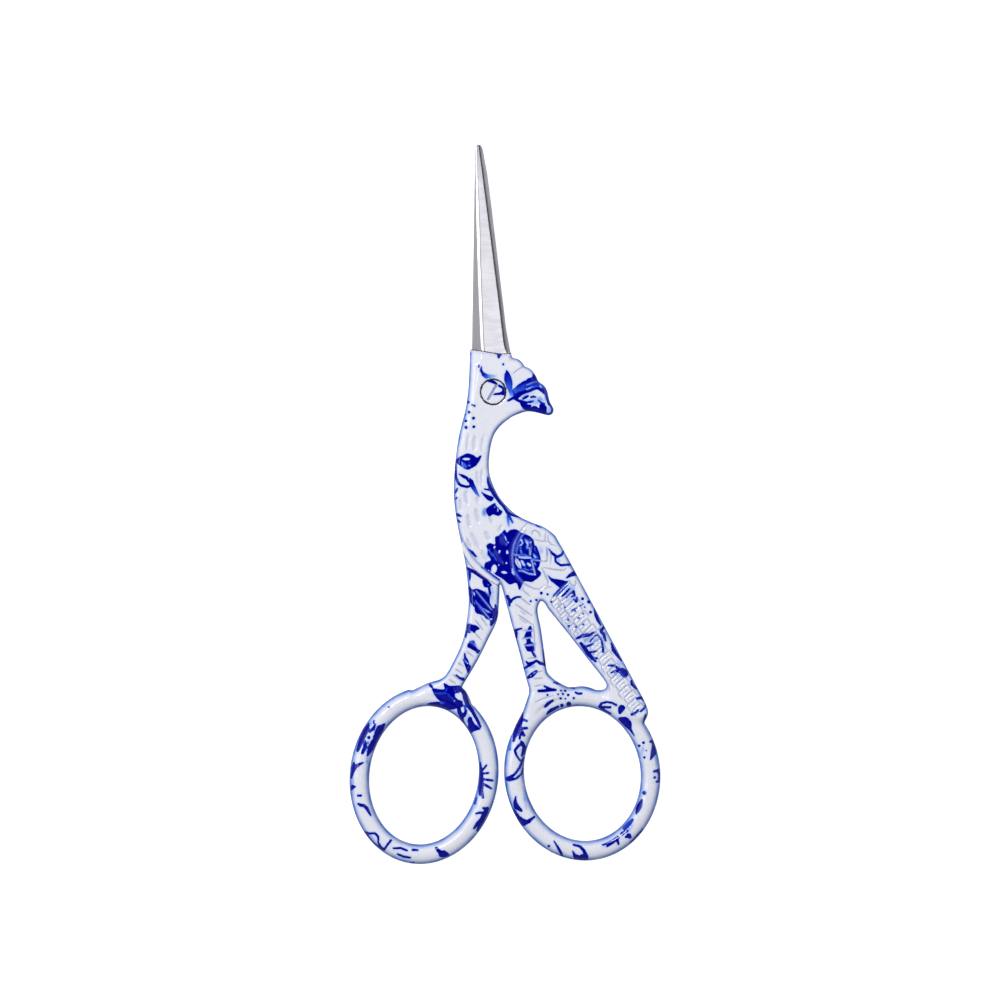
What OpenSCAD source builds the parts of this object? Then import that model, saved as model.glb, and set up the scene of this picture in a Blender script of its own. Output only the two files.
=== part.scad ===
// Embroidery scissors whose handles form a long-necked animal: the screw is its eye, the neck and
// body cover the shanks, and the legs end in two finger bows.
// The scissors lie flat and closed. X runs across, +Y to the points of the blades, +Z up to the
// front. The origin is on the screw's axis, in the plane of the back.

/* [Overall] */
// Length of the bare blades, from the end of the enamel to the points
blade_l = 33.2; // [26:0.1:42]
// Height of the animal figure, from the end of the enamel to the hind hoof
figure_h = 59.3; // [48:0.1:72]
// Width of the animal figure, from the nape to the hind hoof
figure_w = 31.2; // [26:0.1:38]

/* [Thickness] */
// Thickness of each half where the two lie on each other
half_t = 2.0; // [1.6:0.1:3]
// Running gap between the two halves
lap_gap = 0.05; // [0.03:0.01:0.1]
// Gap at the shoulders that stop the closing
stop_gap = 0.12; // [0.08:0.01:0.3]
// Radius of the handles' rounded edges
edge_r = 0.7; // [0.3:0.05:1]

/* [Blades] */
// Thickness of a blade at its ridge, by the enamel
blade_t = 1.55; // [1.2:0.05:1.6]
// Thickness of a blade at its ridge, by the point
point_t = 0.75; // [0.5:0.05:1.1]
// Thickness of a blade along its back edge
back_t = 0.45; // [0.3:0.05:0.5]
// Thickness left at the cutting edge
cut_t = 0.12; // [0.08:0.01:0.25]
// Width of each blade by the enamel
blade_w = 5.4; // [4.4:0.1:5.8]
// Width of each blade by its rounded point
point_w = 0.75; // [0.6:0.05:1.2]
// Width of the bevel along a blade's back, by the enamel
back_bevel_w = 1.45; // [0.8:0.05:2]
// How far the points lie to the left of the screw's axis
point_left = 2.45; // [0:0.05:3]
// How far the rear blade shows beside the front one
rear_show = 0.65; // [0:0.05:0.8]

/* [Finger bows] */
// Width of the front half's bow inside, across its tilted oval
front_bow_w = 18.6; // [16:0.1:24]
// Height of the front half's bow inside
front_bow_h = 21.6; // [18:0.1:27]
// Width of the rear half's bow inside
rear_bow_w = 17.4; // [15:0.1:23]
// Height of the rear half's bow inside
rear_bow_h = 22.2; // [18:0.1:27]
// Width of the bows' rim, seen from the front
rim_w = 3.2; // [2.4:0.1:4]
// Thickness of the bows' rim, from front to back
rim_t = 3.3; // [2.4:0.1:4]
// How far each bow's top leans towards the other bow
bow_lean = 9; // [0:1:15]
// Gap between the closed bows
bow_gap = 1.05; // [0.5:0.05:4]

/* [Screw] */
// Diameter of the screw's flat head
head_d = 3.9; // [3.4:0.1:4.6]
// Thickness of the screw's head
head_t = 0.9; // [0.7:0.05:1.1]
// Gap round the head in its counterbore
head_gap = 0.12; // [0.05:0.01:0.2]
// Diameter of the smooth shank that the front half turns on
shank_d = 2.6; // [2.2:0.1:3]
// Gap between the shank and its bore, on the radius
shank_gap = 0.05; // [0.02:0.01:0.1]
// Diameter of the threaded end in the rear half
thread_d = 2.1; // [1.6:0.1:2.1]
// Gap between the thread and its hole, on the radius
thread_gap = 0.02; // [0.01:0.01:0.05]
// Length of the driver slot
slot_l = 2.9; // [2:0.1:3.2]
// Width of the driver slot
slot_w = 0.4; // [0.3:0.05:0.6]
// Depth of the driver slot
slot_d = 0.4; // [0.2:0.05:0.5]
// Direction of the driver slot
slot_turn = 60; // [0:5:175]

/* [Hidden] */

enamel = [0.87, 0.88, 0.94];
steel = [0.74, 0.74, 0.73];

// Height of the front half's inner face, of its front face, and of the bows' middle
front_z = half_t + lap_gap;
total_t = 2 * half_t + lap_gap;
rim_z = total_t / 2;
// Depth by which one layer of a half runs into its other layer
weld = 0.5;
// Distance past a surface that a cutting solid runs
past = 1;
// Flat sides on round pieces
$fn = 48;

// The figure's outlines below are drawn for this height and width
drawn_h = 59.3;
drawn_w = 31.2;
// Height above the screw's axis where the enamel ends
drawn_coat_y = 6.5;

// Stretches of the figure's outline, smooth from point to point
nape = [[-3.75, 6.5], [-3.85, 3], [-4.05, 0], [-4.5, -3], [-5.5, -7], [-6.05, -11], [-6.35, -15.5],
    [-6.15, -18.5], [-5.7, -21.5], [-5.1, -24.4]];
belly = [[-5.1, -24.4], [-4.7, -25.8], [-3.4, -28], [-1.2, -29.8], [0.8, -31]];
fore_leg = [[1.2, -30.7], [1.6, -32], [2.8, -36.6], [4.1, -41.4], [5.2, -46.2], [5.8, -48]];
hoof = [[24.3, -52.8], [24.85, -51.3], [24.2, -49.4]];
hind_leg = [[24.2, -49.4], [12.2, -27], [10.8, -24.5], [9.9, -22.9]];
chest = [[9.9, -22.9], [8.2, -21.65], [6, -20.8], [4.3, -20], [2.9, -19], [1.1, -17], [0, -15]];
throat = [[0, -15], [-0.6, -13], [-0.65, -10.5], [-0.1, -7.5], [1, -5.6], [3, -3.95]];
jaw = [[3, -3.95], [5.2, -3.15], [7, -3.3], [8.9, -3.8]];
muzzle = [[8.9, -3.8], [9.55, -3.5], [9.75, -3], [9.2, -1.9]];
crest_low = [[9.2, -1.9], [8.95, -0.8], [8.2, 0.9], [7.1, 1.65]];
crest_mid = [[7.1, 1.65], [6.7, 2.7], [6, 3.5], [5, 4.1]];
crest_top = [[5, 4.1], [4.4, 5], [3.7, 5.45], [3, 5.45]];
// The gap between the front half's legs, open at the bottom where the bow closes it
leg_gap = [[7.6, -33.5], [7.1, -35], [7.7, -38], [8.2, -41.5], [8.8, -44.6]];
leg_gap_foot = [[9.3, -45.6], [11.9, -47.2], [14, -48.2], [17.9, -48.2], [18.1, -46.8]];
leg_gap_right = [[18.1, -46.8], [15.3, -43], [12.2, -39], [9, -35], [8.3, -33.9], [7.6, -33.5]];
// The rear half's leg, down its left edge and up its right one
rear_leg_left = [[-5.1, -24.4], [-4.4, -28], [-3.95, -33], [-4.25, -36.6], [-4.9, -39.8], [-6.3, -43],
    [-8, -45.7], [-10.5, -46.6], [-13.2, -47.9]];
rear_heel = [[-3.4, -50.2], [-3.8, -49], [-4.5, -47.8], [-5.1, -47.4]];
rear_leg_right = [[-5.1, -47.4], [-2.5, -43], [-0.9, -39.8], [0.6, -36.6], [0.9, -34], [1.05, -30.6]];
// The rear half's inner edge, hidden behind the neck and the body
rear_shank = [[1.05, -30.6], [0.9, -28], [0.4, -24], [-0.1, -20], [-0.7, -16], [-1.1, -13],
    [-1.1, -10.5], [-0.7, -8], [0.3, -5.8], [1.6, -4], [2.6, -1.5], [2.9, 2], [2.9, 6.5]];
// Height below the screw's axis where the front half grows to its full thickness
drawn_step_y = -17;
// Between the closed bows, where the figure stands, and the height of the bows' tops
drawn_bow_mid = [1.3, -47.25];

// A drawn point at the figure's real size
function figure(p) = [p.x * figure_w / drawn_w, p.y * figure_h / drawn_h];

// A point between b and c on the smooth curve through a, b, c and d
function between(a, b, c, d, t) =
    (2 * b + (c - a) * t + (2 * a - 5 * b + 4 * c - d) * t ^ 2 + (3 * b - a - 3 * c + d) * t ^ 3) / 2;

// The smooth curve through all the points of one stretch, at the figure's real size
curve_steps = 3;
function curve(p) = [
    for (i = [0:len(p) - 2])
        for (k = [0:curve_steps - 1])
            figure(between(p[max(i - 1, 0)], p[i], p[i + 1], p[min(i + 2, len(p) - 1)], k / curve_steps)),
    figure(p[len(p) - 1])
];

// Half the width of a leaning oval, measured along X, and half its height along Y
function lean_half_w(a, b) = norm([a * cos(bow_lean), b * sin(bow_lean)]);
function lean_half_h(a, b) = norm([a * sin(bow_lean), b * cos(bow_lean)]);

// The middle of each bow: both hang from the same height and leave the gap between them
bow_mid = figure(drawn_bow_mid);
function bow_centre(bow_w, bow_h, side) = let (a = bow_w / 2 + rim_w, b = bow_h / 2 + rim_w)
    [bow_mid.x + side * (bow_gap / 2 + lean_half_w(a, b)), bow_mid.y - lean_half_h(a, b)];
front_bow = bow_centre(front_bow_w, front_bow_h, 1);
rear_bow = bow_centre(rear_bow_w, rear_bow_h, -1);

coat_y = figure([0, drawn_coat_y]).y;
step_y = figure([0, drawn_step_y]).y;
// Farther out than anything on the scissors
beyond = 2 * (figure_h + front_bow_h + rear_bow_h);

// A slab whose upper edge is rounded in steps
edge_steps = 3;
module slab(t) {
    for (k = [0:edge_steps - 1]) {
        turn = 90 * k / edge_steps;
        linear_extrude(t - edge_r * (1 - sin(turn + 90 / edge_steps)))
            offset(delta = -edge_r * (1 - cos(turn)))
                children();
    }
}

// The figure as the front shows it, with its legs drawn on to the middle of the bow
module front_outline() {
    difference() {
        polygon(concat(curve(nape), curve(belly), curve(fore_leg), [front_bow], curve(hoof),
            curve(hind_leg), curve(chest), curve(throat), curve(jaw), curve(muzzle), curve(crest_low),
            curve(crest_mid), curve(crest_top), [figure([2.95, drawn_coat_y])]));
        polygon(concat(curve(leg_gap), curve(leg_gap_foot), curve(leg_gap_right)));
        bow_hollow(front_bow, front_bow_w, front_bow_h, 1);
    }
}

// The rear half's shank and leg, drawn on to the middle of its bow
module rear_outline() {
    difference() {
        polygon(concat(curve(nape), curve(rear_leg_left), [rear_bow], curve(rear_heel),
            curve(rear_leg_right), curve(rear_shank)));
        bow_hollow(rear_bow, rear_bow_w, rear_bow_h, -1);
    }
}

// The oval along the middle of a bow's rim, which trims the legs inside the rim
module bow_hollow(centre, bow_w, bow_h, side) {
    a = (bow_w + rim_w) / 2;
    b = (bow_h + rim_w) / 2;
    translate(centre)
        rotate(side * bow_lean)
            polygon([for (turn = [0:360 / $fn:359]) [a * cos(turn), b * sin(turn)]]);
}

// A finger bow: a rounded rim swept round an oval
rim_stations = 44;
rim_sides = 12;
module bow(centre, bow_w, bow_h, side) {
    a = (bow_w + rim_w) / 2;
    b = (bow_h + rim_w) / 2;
    rim = [
        for (i = [0:rim_stations - 1])
            let (turn = 360 * i / rim_stations)
                let (out = [b * cos(turn), a * sin(turn)] / norm([b * cos(turn), a * sin(turn)]))
                    for (j = [0:rim_sides - 1])
                        let (round = 360 * (j + 0.5) / rim_sides)
                            let (flat = [a * cos(turn), b * sin(turn)] + out * rim_w / 2 * cos(round))
                                [flat.x, flat.y, rim_t / 2 * sin(round)]
    ];
    faces = [
        for (i = [0:rim_stations - 1])
            for (j = [0:rim_sides - 1])
                let (here = i * rim_sides, there = (i + 1) % rim_stations * rim_sides, up = (j + 1) % rim_sides)
                    each [[here + j, there + up, there + j], [here + j, here + up, there + up]]
    ];
    translate([centre.x, centre.y, rim_z])
        rotate(side * bow_lean)
            polyhedron(rim, faces);
}

// One blade with its flat inner face down and its back to the left. Its section is a flat, a thin
// cutting edge, a wide face up to the ridge, and a bevel down to the back.
module blade(back_x, point_x) {
    point_r = point_w / 2;
    shoulder = 1 - point_r / blade_l;
    arcs = [0, 30, 55, 75, 88];
    places = concat([for (t = [0:0.25:0.76]) [t * shoulder, 1]],
        [for (turn = arcs) [shoulder + (1 - shoulder) * sin(turn), cos(turn)]]);
    section = [
        for (place = places)
            let (
                t = place[0],
                width = (blade_w * (1 - t / shoulder) + point_w * min(t / shoulder, 1)) * place[1],
                middle = (back_x + blade_w / 2) * (1 - min(t / shoulder, 1)) + point_x * min(t / shoulder, 1),
                wide = max(width, point_w * place[1]),
                ridge = back_bevel_w / blade_w * wide,
                left = middle - wide / 2,
                high = blade_t + (point_t - blade_t) * t,
                y = coat_y + blade_l * t
            )
                each [[left, y, 0], [left + wide, y, 0], [left + wide, y, cut_t], [left + ridge, y, high],
                    [left, y, back_t]]
    ];
    corners = 5;
    last = (len(places) - 1) * corners;
    sides = [
        for (i = [0:len(places) - 2])
            for (j = [0:corners - 1])
                let (here = i * corners, there = here + corners, up = (j + 1) % corners)
                    each [[here + j, there + j, there + up], [here + j, there + up, here + up]]
    ];
    ends = [[0, 1, 2], [0, 2, 3], [0, 3, 4]];
    polyhedron(section, concat(sides, ends, [for (f = ends) [last + f[2], last + f[1], last + f[0]]]));
}

// The bare steel blade of the front half
front_back_x = figure(nape[0]).x + 0.35;
module front_blade() {
    color(steel)
        translate([0, 0, front_z])
            blade(front_back_x, -point_left);
}

// The bare steel blade of the rear half: the same blade turned over, a little to the right
module rear_blade() {
    color(steel)
        translate([0, 0, half_t])
            rotate([0, 180, 0])
                blade(-(front_back_x + blade_w + rear_show), point_left - rear_show);
}

// The enamelled front half: neck, head and body over the rear half's shank, both legs and their bow
module front_handle() {
    color(enamel)
        difference() {
            union() {
                translate([0, 0, front_z])
                    slab(half_t)
                        front_outline();
                translate([0, 0, front_z + weld])
                    mirror([0, 0, 1])
                        slab(front_z + weld)
                            front_full_depth();
                bow(front_bow, front_bow_w, front_bow_h, 1);
            }
            translate([0, 0, front_z - past])
                cylinder(h = half_t + 2 * past, d = shank_d + 2 * shank_gap);
            translate([0, 0, total_t - head_t - lap_gap])
                cylinder(h = head_t + past, d = head_d + 2 * head_gap);
        }
}

// The part of the front half that reaches the back, to the right of the rear half's shank
module front_full_depth() {
    intersection() {
        front_outline();
        polygon(concat([for (p = curve(rear_shank)) if (p.y < step_y) p + [stop_gap, 0]],
            [[beyond, step_y], [beyond, -beyond], [figure([1.1, 0]).x + stop_gap, -beyond]]));
    }
}

// The enamelled rear half: the shank behind the neck, the leg and its bow
module rear_handle() {
    color(enamel)
        difference() {
            union() {
                translate([0, 0, half_t])
                    mirror([0, 0, 1])
                        slab(half_t)
                            rear_outline();
                translate([0, 0, half_t - weld])
                    slab(total_t - half_t + weld)
                        rear_full_depth();
                bow(rear_bow, rear_bow_w, rear_bow_h, -1);
            }
            translate([0, 0, -past])
                cylinder(h = half_t + 2 * past, d = thread_d + 2 * thread_gap);
        }
}

// The part of the rear half that reaches the front, below the edge of the animal's belly
module rear_full_depth() {
    edge = curve(belly);
    along = edge[len(edge) - 1] - edge[0];
    down = [along.y, -along.x] / norm(along) * stop_gap;
    intersection() {
        rear_outline();
        polygon(concat([[-beyond, edge[0].y + down.y]], [for (p = edge) p + down],
            [[beyond, edge[len(edge) - 1].y + down.y], [beyond, -beyond], [-beyond, -beyond]]));
    }
}

// The slotted screw: a flat head, a smooth shank on which the front half turns, and a threaded end
module pivot_screw() {
    color(enamel)
        difference() {
            union() {
                translate([0, 0, total_t - head_t])
                    cylinder(h = head_t, d = head_d);
                translate([0, 0, half_t])
                    cylinder(h = total_t - half_t - head_t, d = shank_d);
                cylinder(h = half_t, d = thread_d);
            }
            translate([0, 0, total_t - slot_d + past])
                rotate(slot_turn)
                    cube([slot_l, slot_w, 2 * past], center = true);
        }
}

front_blade();
front_handle();
rear_blade();
rear_handle();
pivot_screw();
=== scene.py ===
# Looks of the embroidery scissors with an animal figure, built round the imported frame.
# Lengths are in millimetres in the frame's own axes: X across, +Y to the points, +Z to the front.
# They turn into metres when a mesh, a light or the camera is made.
import math
import bpy
import numpy as np
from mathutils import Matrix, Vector, kdtree
from mathutils.geometry import delaunay_2d_cdt


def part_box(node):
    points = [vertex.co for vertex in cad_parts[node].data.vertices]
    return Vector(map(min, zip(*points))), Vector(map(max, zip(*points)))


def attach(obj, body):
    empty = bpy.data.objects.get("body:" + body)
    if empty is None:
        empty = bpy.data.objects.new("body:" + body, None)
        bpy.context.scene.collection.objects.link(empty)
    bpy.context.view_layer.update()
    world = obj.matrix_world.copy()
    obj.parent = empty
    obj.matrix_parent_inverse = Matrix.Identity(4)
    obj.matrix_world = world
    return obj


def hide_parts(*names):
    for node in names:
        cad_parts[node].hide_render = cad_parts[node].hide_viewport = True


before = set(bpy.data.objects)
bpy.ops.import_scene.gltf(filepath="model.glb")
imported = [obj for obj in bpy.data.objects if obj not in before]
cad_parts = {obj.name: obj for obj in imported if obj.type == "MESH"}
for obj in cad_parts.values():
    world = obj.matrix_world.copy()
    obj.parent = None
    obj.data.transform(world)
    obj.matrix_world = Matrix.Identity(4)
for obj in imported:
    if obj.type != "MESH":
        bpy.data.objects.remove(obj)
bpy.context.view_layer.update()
MM = 0.001


def node_box(node):
    """The lowest and highest corner of a frame node, in millimetres."""
    return [np.array(corner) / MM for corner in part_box(node)]


# Sizes that the frame gives
blade_low, blade_high = node_box("front_blade")
front_low, front_high = node_box("front_handle")
rear_low, rear_high = node_box("rear_handle")
coat_y = blade_low[1]
tip_y = blade_high[1]
front_lap = blade_low[2]
rear_lap = node_box("rear_blade")[1][2]
top_z = front_high[2]
rim_z = top_z / 2
head_r = node_box("pivot_screw")[1][0]

# The finger bows: sizes inside, rim, and lean towards each other
front_bow_w = 18.6
front_bow_h = 21.6
rear_bow_w = 17.4
rear_bow_h = 22.2
rim_w = 3.2
rim_t = 3.3
bow_lean = math.radians(9)
# The bows stay this far inside the frame's box
inside_box = 0.03
# Gap between the two halves where they stop each other
stop_gap = 0.05
# Width of the steep wall between a half's two layers, seen from the front
wall_w = 0.03

# Edges: how far the rounding reaches in and how far it falls, on the figure, along the belly and
# at the end of the enamel, and for a lap face
edge_reach = 0.95
edge_fall = 0.85
belly_reach = 0.42
belly_fall = 0.3
coat_reach = 0.12
coat_fall = 0.09
lap_reach = 0.1
lap_fall = 0.05
# Height of the straight side between the two roundings of a bow's rim, from the middle plane
rim_side = 0.05
# Distances from an edge, past the rim, over which a bow's rim turns into the figure
rim_blend = (0.05, 1.3)
# Distances from an edge at which rows of points follow it
edge_rows = [0.02, 0.07, 0.15, 0.27, 0.42, 0.6, 0.82, 1.08, 1.36]
# Spacing of the points along edges, and on faces near the ink's edges. Elsewhere on printed faces
# it is twice as wide, and twice lap_step on the plain faces between the halves.
edge_step = 0.24
face_step = 0.17
lap_step = 4 * face_step
# Number of points in a ring round the screw's axis
ring_count = 72

# Stretches of the figure's outline, smooth from point to point, as the frame has them
nape = [(-3.75, 6.5), (-3.85, 3), (-4.05, 0), (-4.5, -3), (-5.5, -7), (-6.05, -11), (-6.35, -15.5),
        (-6.15, -18.5), (-5.7, -21.5), (-5.1, -24.4)]
belly = [(-5.1, -24.4), (-4.7, -25.8), (-3.4, -28), (-1.2, -29.8), (0.8, -31)]
fore_leg = [(1.2, -30.7), (1.6, -32), (2.8, -36.6), (4.1, -41.4), (5.2, -45.7), (5.75, -47.8), (5.5, -49),
            (5.15, -50), (4.8, -51), (4.25, -52.1), (3.72, -53.1), (3.28, -54.1), (2.98, -54.9)]
hoof = [(24.3, -52.8), (24.85, -51.3), (24.2, -49.4)]
hind_leg = [(24.2, -49.4), (12.2, -27), (10.8, -24.5), (9.9, -22.9)]
chest = [(9.9, -22.9), (8.2, -21.65), (6, -20.8), (4.3, -20), (2.9, -19), (1.1, -17), (0, -15)]
throat = [(0, -15), (-0.6, -13), (-0.65, -10.5), (-0.1, -7.5), (1, -5.6), (3, -3.95)]
jaw = [(3, -3.95), (5.2, -3.15), (7, -3.3), (8.4, -3.7)]
muzzle = [(8.4, -3.7), (9.1, -3.75), (9.62, -3.35), (9.65, -2.6), (9.15, -1.8)]
crest_low = [(9.15, -1.8), (8.9, -1), (8.65, 0.2), (8.1, 1.1), (7.25, 1.6)]
crest_mid = [(7.25, 1.6), (6.95, 2.35), (6.5, 3.15), (5.75, 3.85), (5, 4.05)]
crest_top = [(5, 4.05), (4.65, 4.75), (3.85, 5.35), (3, 5.45)]
leg_gap = [(7.6, -33.5), (7.1, -35), (7.65, -38), (8.15, -41.5), (8.55, -44.4), (8.95, -45.3), (10, -46.2),
           (11.8, -47.15), (12.8, -47.25), (14.2, -47.1), (15.4, -47.3), (16.6, -47.7), (17.7, -47.6),
           (18.15, -47), (17.5, -45.8), (15.3, -43), (12.2, -39), (9, -35), (8.3, -33.9)]
rear_leg_left = [(-5.1, -24.4), (-4.4, -28), (-3.95, -33), (-4.25, -36.6), (-4.9, -39.8), (-6.3, -43),
                 (-8, -45.7), (-10.5, -46.6), (-13.2, -47.9)]
rear_heel = [(-3.4, -50.2), (-3.8, -49), (-4.5, -47.8), (-5.1, -47.4)]
rear_leg_right = [(-5.1, -47.4), (-2.5, -43), (-0.9, -39.8), (0.6, -36.6), (0.9, -34), (1.05, -30.6)]
rear_shank = [(1.05, -30.6), (0.9, -28), (0.4, -24), (-0.1, -20), (-0.7, -16), (-1.1, -13),
              (-1.1, -10.5), (-0.7, -8), (0.3, -5.8), (1.6, -4), (2.6, -1.5), (2.9, 2), (2.9, 6.5)]
# Height below the screw's axis where the front half grows to its full thickness
step_y = -17
# The slanting, slightly ragged end of the enamel over the blade
coat_end = [(2.95, 6.25), (2, 6.22), (1, 6.2), (0, 6.33), (-1, 6.48), (-2, 6.62), (-3, 6.8), (-3.75, 6.86)]

# The screw's bore in the front half, its seat and the gap round its head, its thread and the gap
# round that, and its slot
bore_r = 1.35
seat_gap = 0.13
seat_z = top_z - 0.95
thread_r = 1.05
thread_gap = 0.02
slot_l = 2.9
slot_w = 0.42
slot_d = 0.26
slot_turn = math.radians(60)


def curve(points, closed=False):
    """The smooth line through given points."""
    p = np.array(points, float)
    if closed:
        a, b, c, d = np.roll(p, 1, 0), p, np.roll(p, -1, 0), np.roll(p, -2, 0)
    else:
        padded = np.vstack([p[:1], p, p[-1:]])
        a, b, c, d = padded[:-3], padded[1:-2], padded[2:-1], padded[3:]
    steps = [
        (2 * b + (c - a) * t + (2 * a - 5 * b + 4 * c - d) * t**2 + (3 * b - a - 3 * c + d) * t**3) / 2
        for t in np.arange(0, 1, 1 / 12)
    ]
    line = np.stack(steps, 1).reshape(-1, 2)
    return line if closed else np.vstack([line, p[-1:]])


def evenly(line, step, closed=False):
    """The same line with its points about one step apart."""
    line = np.asarray(line, float)
    if closed:
        line = np.vstack([line, line[:1]])
    run = np.concatenate([[0], np.cumsum(np.hypot(*np.diff(line, axis=0).T))])
    at = np.linspace(0, run[-1], max(2, round(run[-1] / step)) + 1)
    even = np.stack([np.interp(at, run, line[:, 0]), np.interp(at, run, line[:, 1])], 1)
    return even[:-1] if closed else even


def softened(loop, rounds=2):
    """A closed line with its corners rounded a little."""
    for _ in range(rounds):
        loop = (np.roll(loop, 1, 0) + 2 * loop + np.roll(loop, -1, 0)) / 4
    return loop


def beside(line, distance):
    """An open line moved to its left by a distance."""
    along = np.gradient(line, axis=0)
    along /= np.hypot(*along.T)[:, None]
    return line + distance * np.stack([-along[:, 1], along[:, 0]], 1)


def inside(points, loops):
    """Which points lie inside the loops, with the loops that are holes left out."""
    order = np.argsort(points[:, 1], kind="stable")
    x, y = points[order].T
    crossed = np.zeros(len(points), int)
    for loop in loops:
        for (ax, ay), (bx, by) in zip(loop, np.roll(loop, -1, 0)):
            low, high = np.searchsorted(y, sorted((ay, by)))
            if low < high:
                crossed[low:high] += x[low:high] < ax + (y[low:high] - ay) * (bx - ax) / (by - ay)
    found = np.zeros(len(points), bool)
    found[order] = crossed % 2 == 1
    return found


def to_segment(points, a, b):
    """Distance from each point to its segment from a to b, and how far along the nearest place is."""
    along = b - a
    t = np.clip(((points - a) * along).sum(-1) / np.maximum((along**2).sum(-1), 1e-12), 0, 1)
    return np.hypot(*(points - a - t[..., None] * along).T), t


def nearest(tree_points, points):
    """The number of the tree point that is nearest to each point, and its distance."""
    tree = kdtree.KDTree(len(tree_points))
    for number, (x, y) in enumerate(tree_points):
        tree.insert((x, y, 0), number)
    tree.balance()
    found = [tree.find((x, y, 0))[1:] for x, y in points]
    return np.array([f[0] for f in found], int), np.array([f[1] for f in found])


def to_line(points, line, closed=False):
    """Distance from each point to a line."""
    near, _ = nearest(line, points)
    last = len(line)
    best = np.full(len(points), np.inf)
    for start in (near - 1, near):
        a = start % last if closed else np.clip(start, 0, last - 2)
        best = np.minimum(best, to_segment(points, line[a], line[(a + 1) % last])[0])
    return best


def near_to(points, line, margin):
    """The numbers of the points in the box round a line, widened by a margin."""
    low, high = line.min(0) - margin, line.max(0) + margin
    return np.flatnonzero(((points > low) & (points < high)).all(1))


def smooth(value, low, high):
    """0 below low, 1 above high, and a smooth rise between."""
    t = np.clip((value - low) / (high - low), 0, 1)
    return t * t * (3 - 2 * t)


def mix(a, b, share):
    """a where the share is 0 and b where it is 1."""
    return a + (b - a) * share


class Bow:
    """A finger bow's leaning oval, placed by the frame's box."""

    def __init__(self, width, height, side, low, high):
        self.a = width / 2 + rim_w
        self.b = height / 2 + rim_w
        self.lean = side * bow_lean
        half_w = math.hypot(self.a * math.cos(bow_lean), self.b * math.sin(bow_lean))
        half_h = math.hypot(self.a * math.sin(bow_lean), self.b * math.cos(bow_lean))
        x = high[0] - half_w - inside_box if side > 0 else low[0] + half_w + inside_box
        self.centre = np.array([x, low[1] + half_h + inside_box])

    def oval(self, shrink, turns):
        """Points of the outer oval, made smaller all round by shrink, at the given turns."""
        flat = np.stack([(self.a - shrink) * np.cos(turns), (self.b - shrink) * np.sin(turns)], 1)
        c, s = math.cos(self.lean), math.sin(self.lean)
        return self.centre + flat @ np.array([[c, s], [-s, c]])

    def turn_at(self, point):
        """The turn at which the outer oval passes a point."""
        x, y = np.array(point) - self.centre
        c, s = math.cos(self.lean), math.sin(self.lean)
        return math.atan2((c * y - s * x) / self.b, (c * x + s * y) / self.a)

    def arc(self, start, end):
        """The outer oval from one point round the bottom to another."""
        first, last = self.turn_at(start), self.turn_at(end)
        if last < first:
            last += 2 * math.pi
        return self.oval(0, np.linspace(first, last, 240))

    def outside(self, points):
        """How far each point lies outside the outer oval: below 0 on the rim."""
        oval = self.oval(0, np.linspace(0, 2 * math.pi, 400, endpoint=False))
        away = to_line(points, oval, closed=True)
        return np.where(inside(points, [oval]), -away, away)


front_bow = Bow(front_bow_w, front_bow_h, 1, front_low, front_high)
rear_bow = Bow(rear_bow_w, rear_bow_h, -1, rear_low, rear_high)


def loop_of(*stretches):
    """One closed outline from its stretches, evenly stepped, with slightly rounded corners."""
    return softened(evenly(np.vstack(stretches), edge_step, closed=True))


def circle(radius):
    """A ring of points round the screw's axis."""
    turns = np.linspace(0, 2 * math.pi, ring_count, endpoint=False)
    return radius * np.stack([np.cos(turns), np.sin(turns)], 1)


full_turn = np.linspace(0, 2 * math.pi, 300, endpoint=False)
ragged = curve(coat_end)
ragged[:, 1] += 0.035 * np.sin(17 * ragged[:, 0]) + 0.03 * np.sin(41 * ragged[:, 0] + 1)
front_outline = loop_of(
    ragged, curve(nape)[3:], curve(belly), curve(fore_leg), front_bow.arc(fore_leg[-1], hoof[0]),
    curve(hoof), curve(hind_leg), curve(chest), curve(throat), curve(jaw), curve(muzzle),
    curve(crest_low), curve(crest_mid), curve(crest_top))
front_hollow = evenly(front_bow.oval(rim_w, full_turn), edge_step, closed=True)
leg_hollow = evenly(curve(leg_gap, closed=True), edge_step, closed=True)
rear_outline = loop_of(
    curve(nape), curve(rear_leg_left), rear_bow.arc(rear_leg_left[-1], rear_heel[0]), curve(rear_heel),
    curve(rear_leg_right), curve(rear_shank))
rear_hollow = evenly(rear_bow.oval(rim_w, full_turn), edge_step, closed=True)

# Where each half's two layers part: behind the front half along the rear shank, and on the rear
# half along the belly
shank_line = curve(rear_shank) + np.array([stop_gap, 0])
shank_line = shank_line[shank_line[:, 1] < step_y]
back_step = evenly(np.vstack([[(1.2, -31.6)], shank_line, [(-0.42, step_y), (3, step_y)]]), edge_step)
belly_line = curve(belly)
belly_groove = curve([(-5.3, -22.9), (-4.9, -23.7), (-4, -25.2), (-3, -26.8), (-2, -27.8), (-1, -28.8),
                      (0.3, -29.85), (1.3, -30.5)])
belly_step = evenly(np.vstack([beside(belly_line, -stop_gap), [(1.4, -31.5)]]), edge_step)

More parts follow.
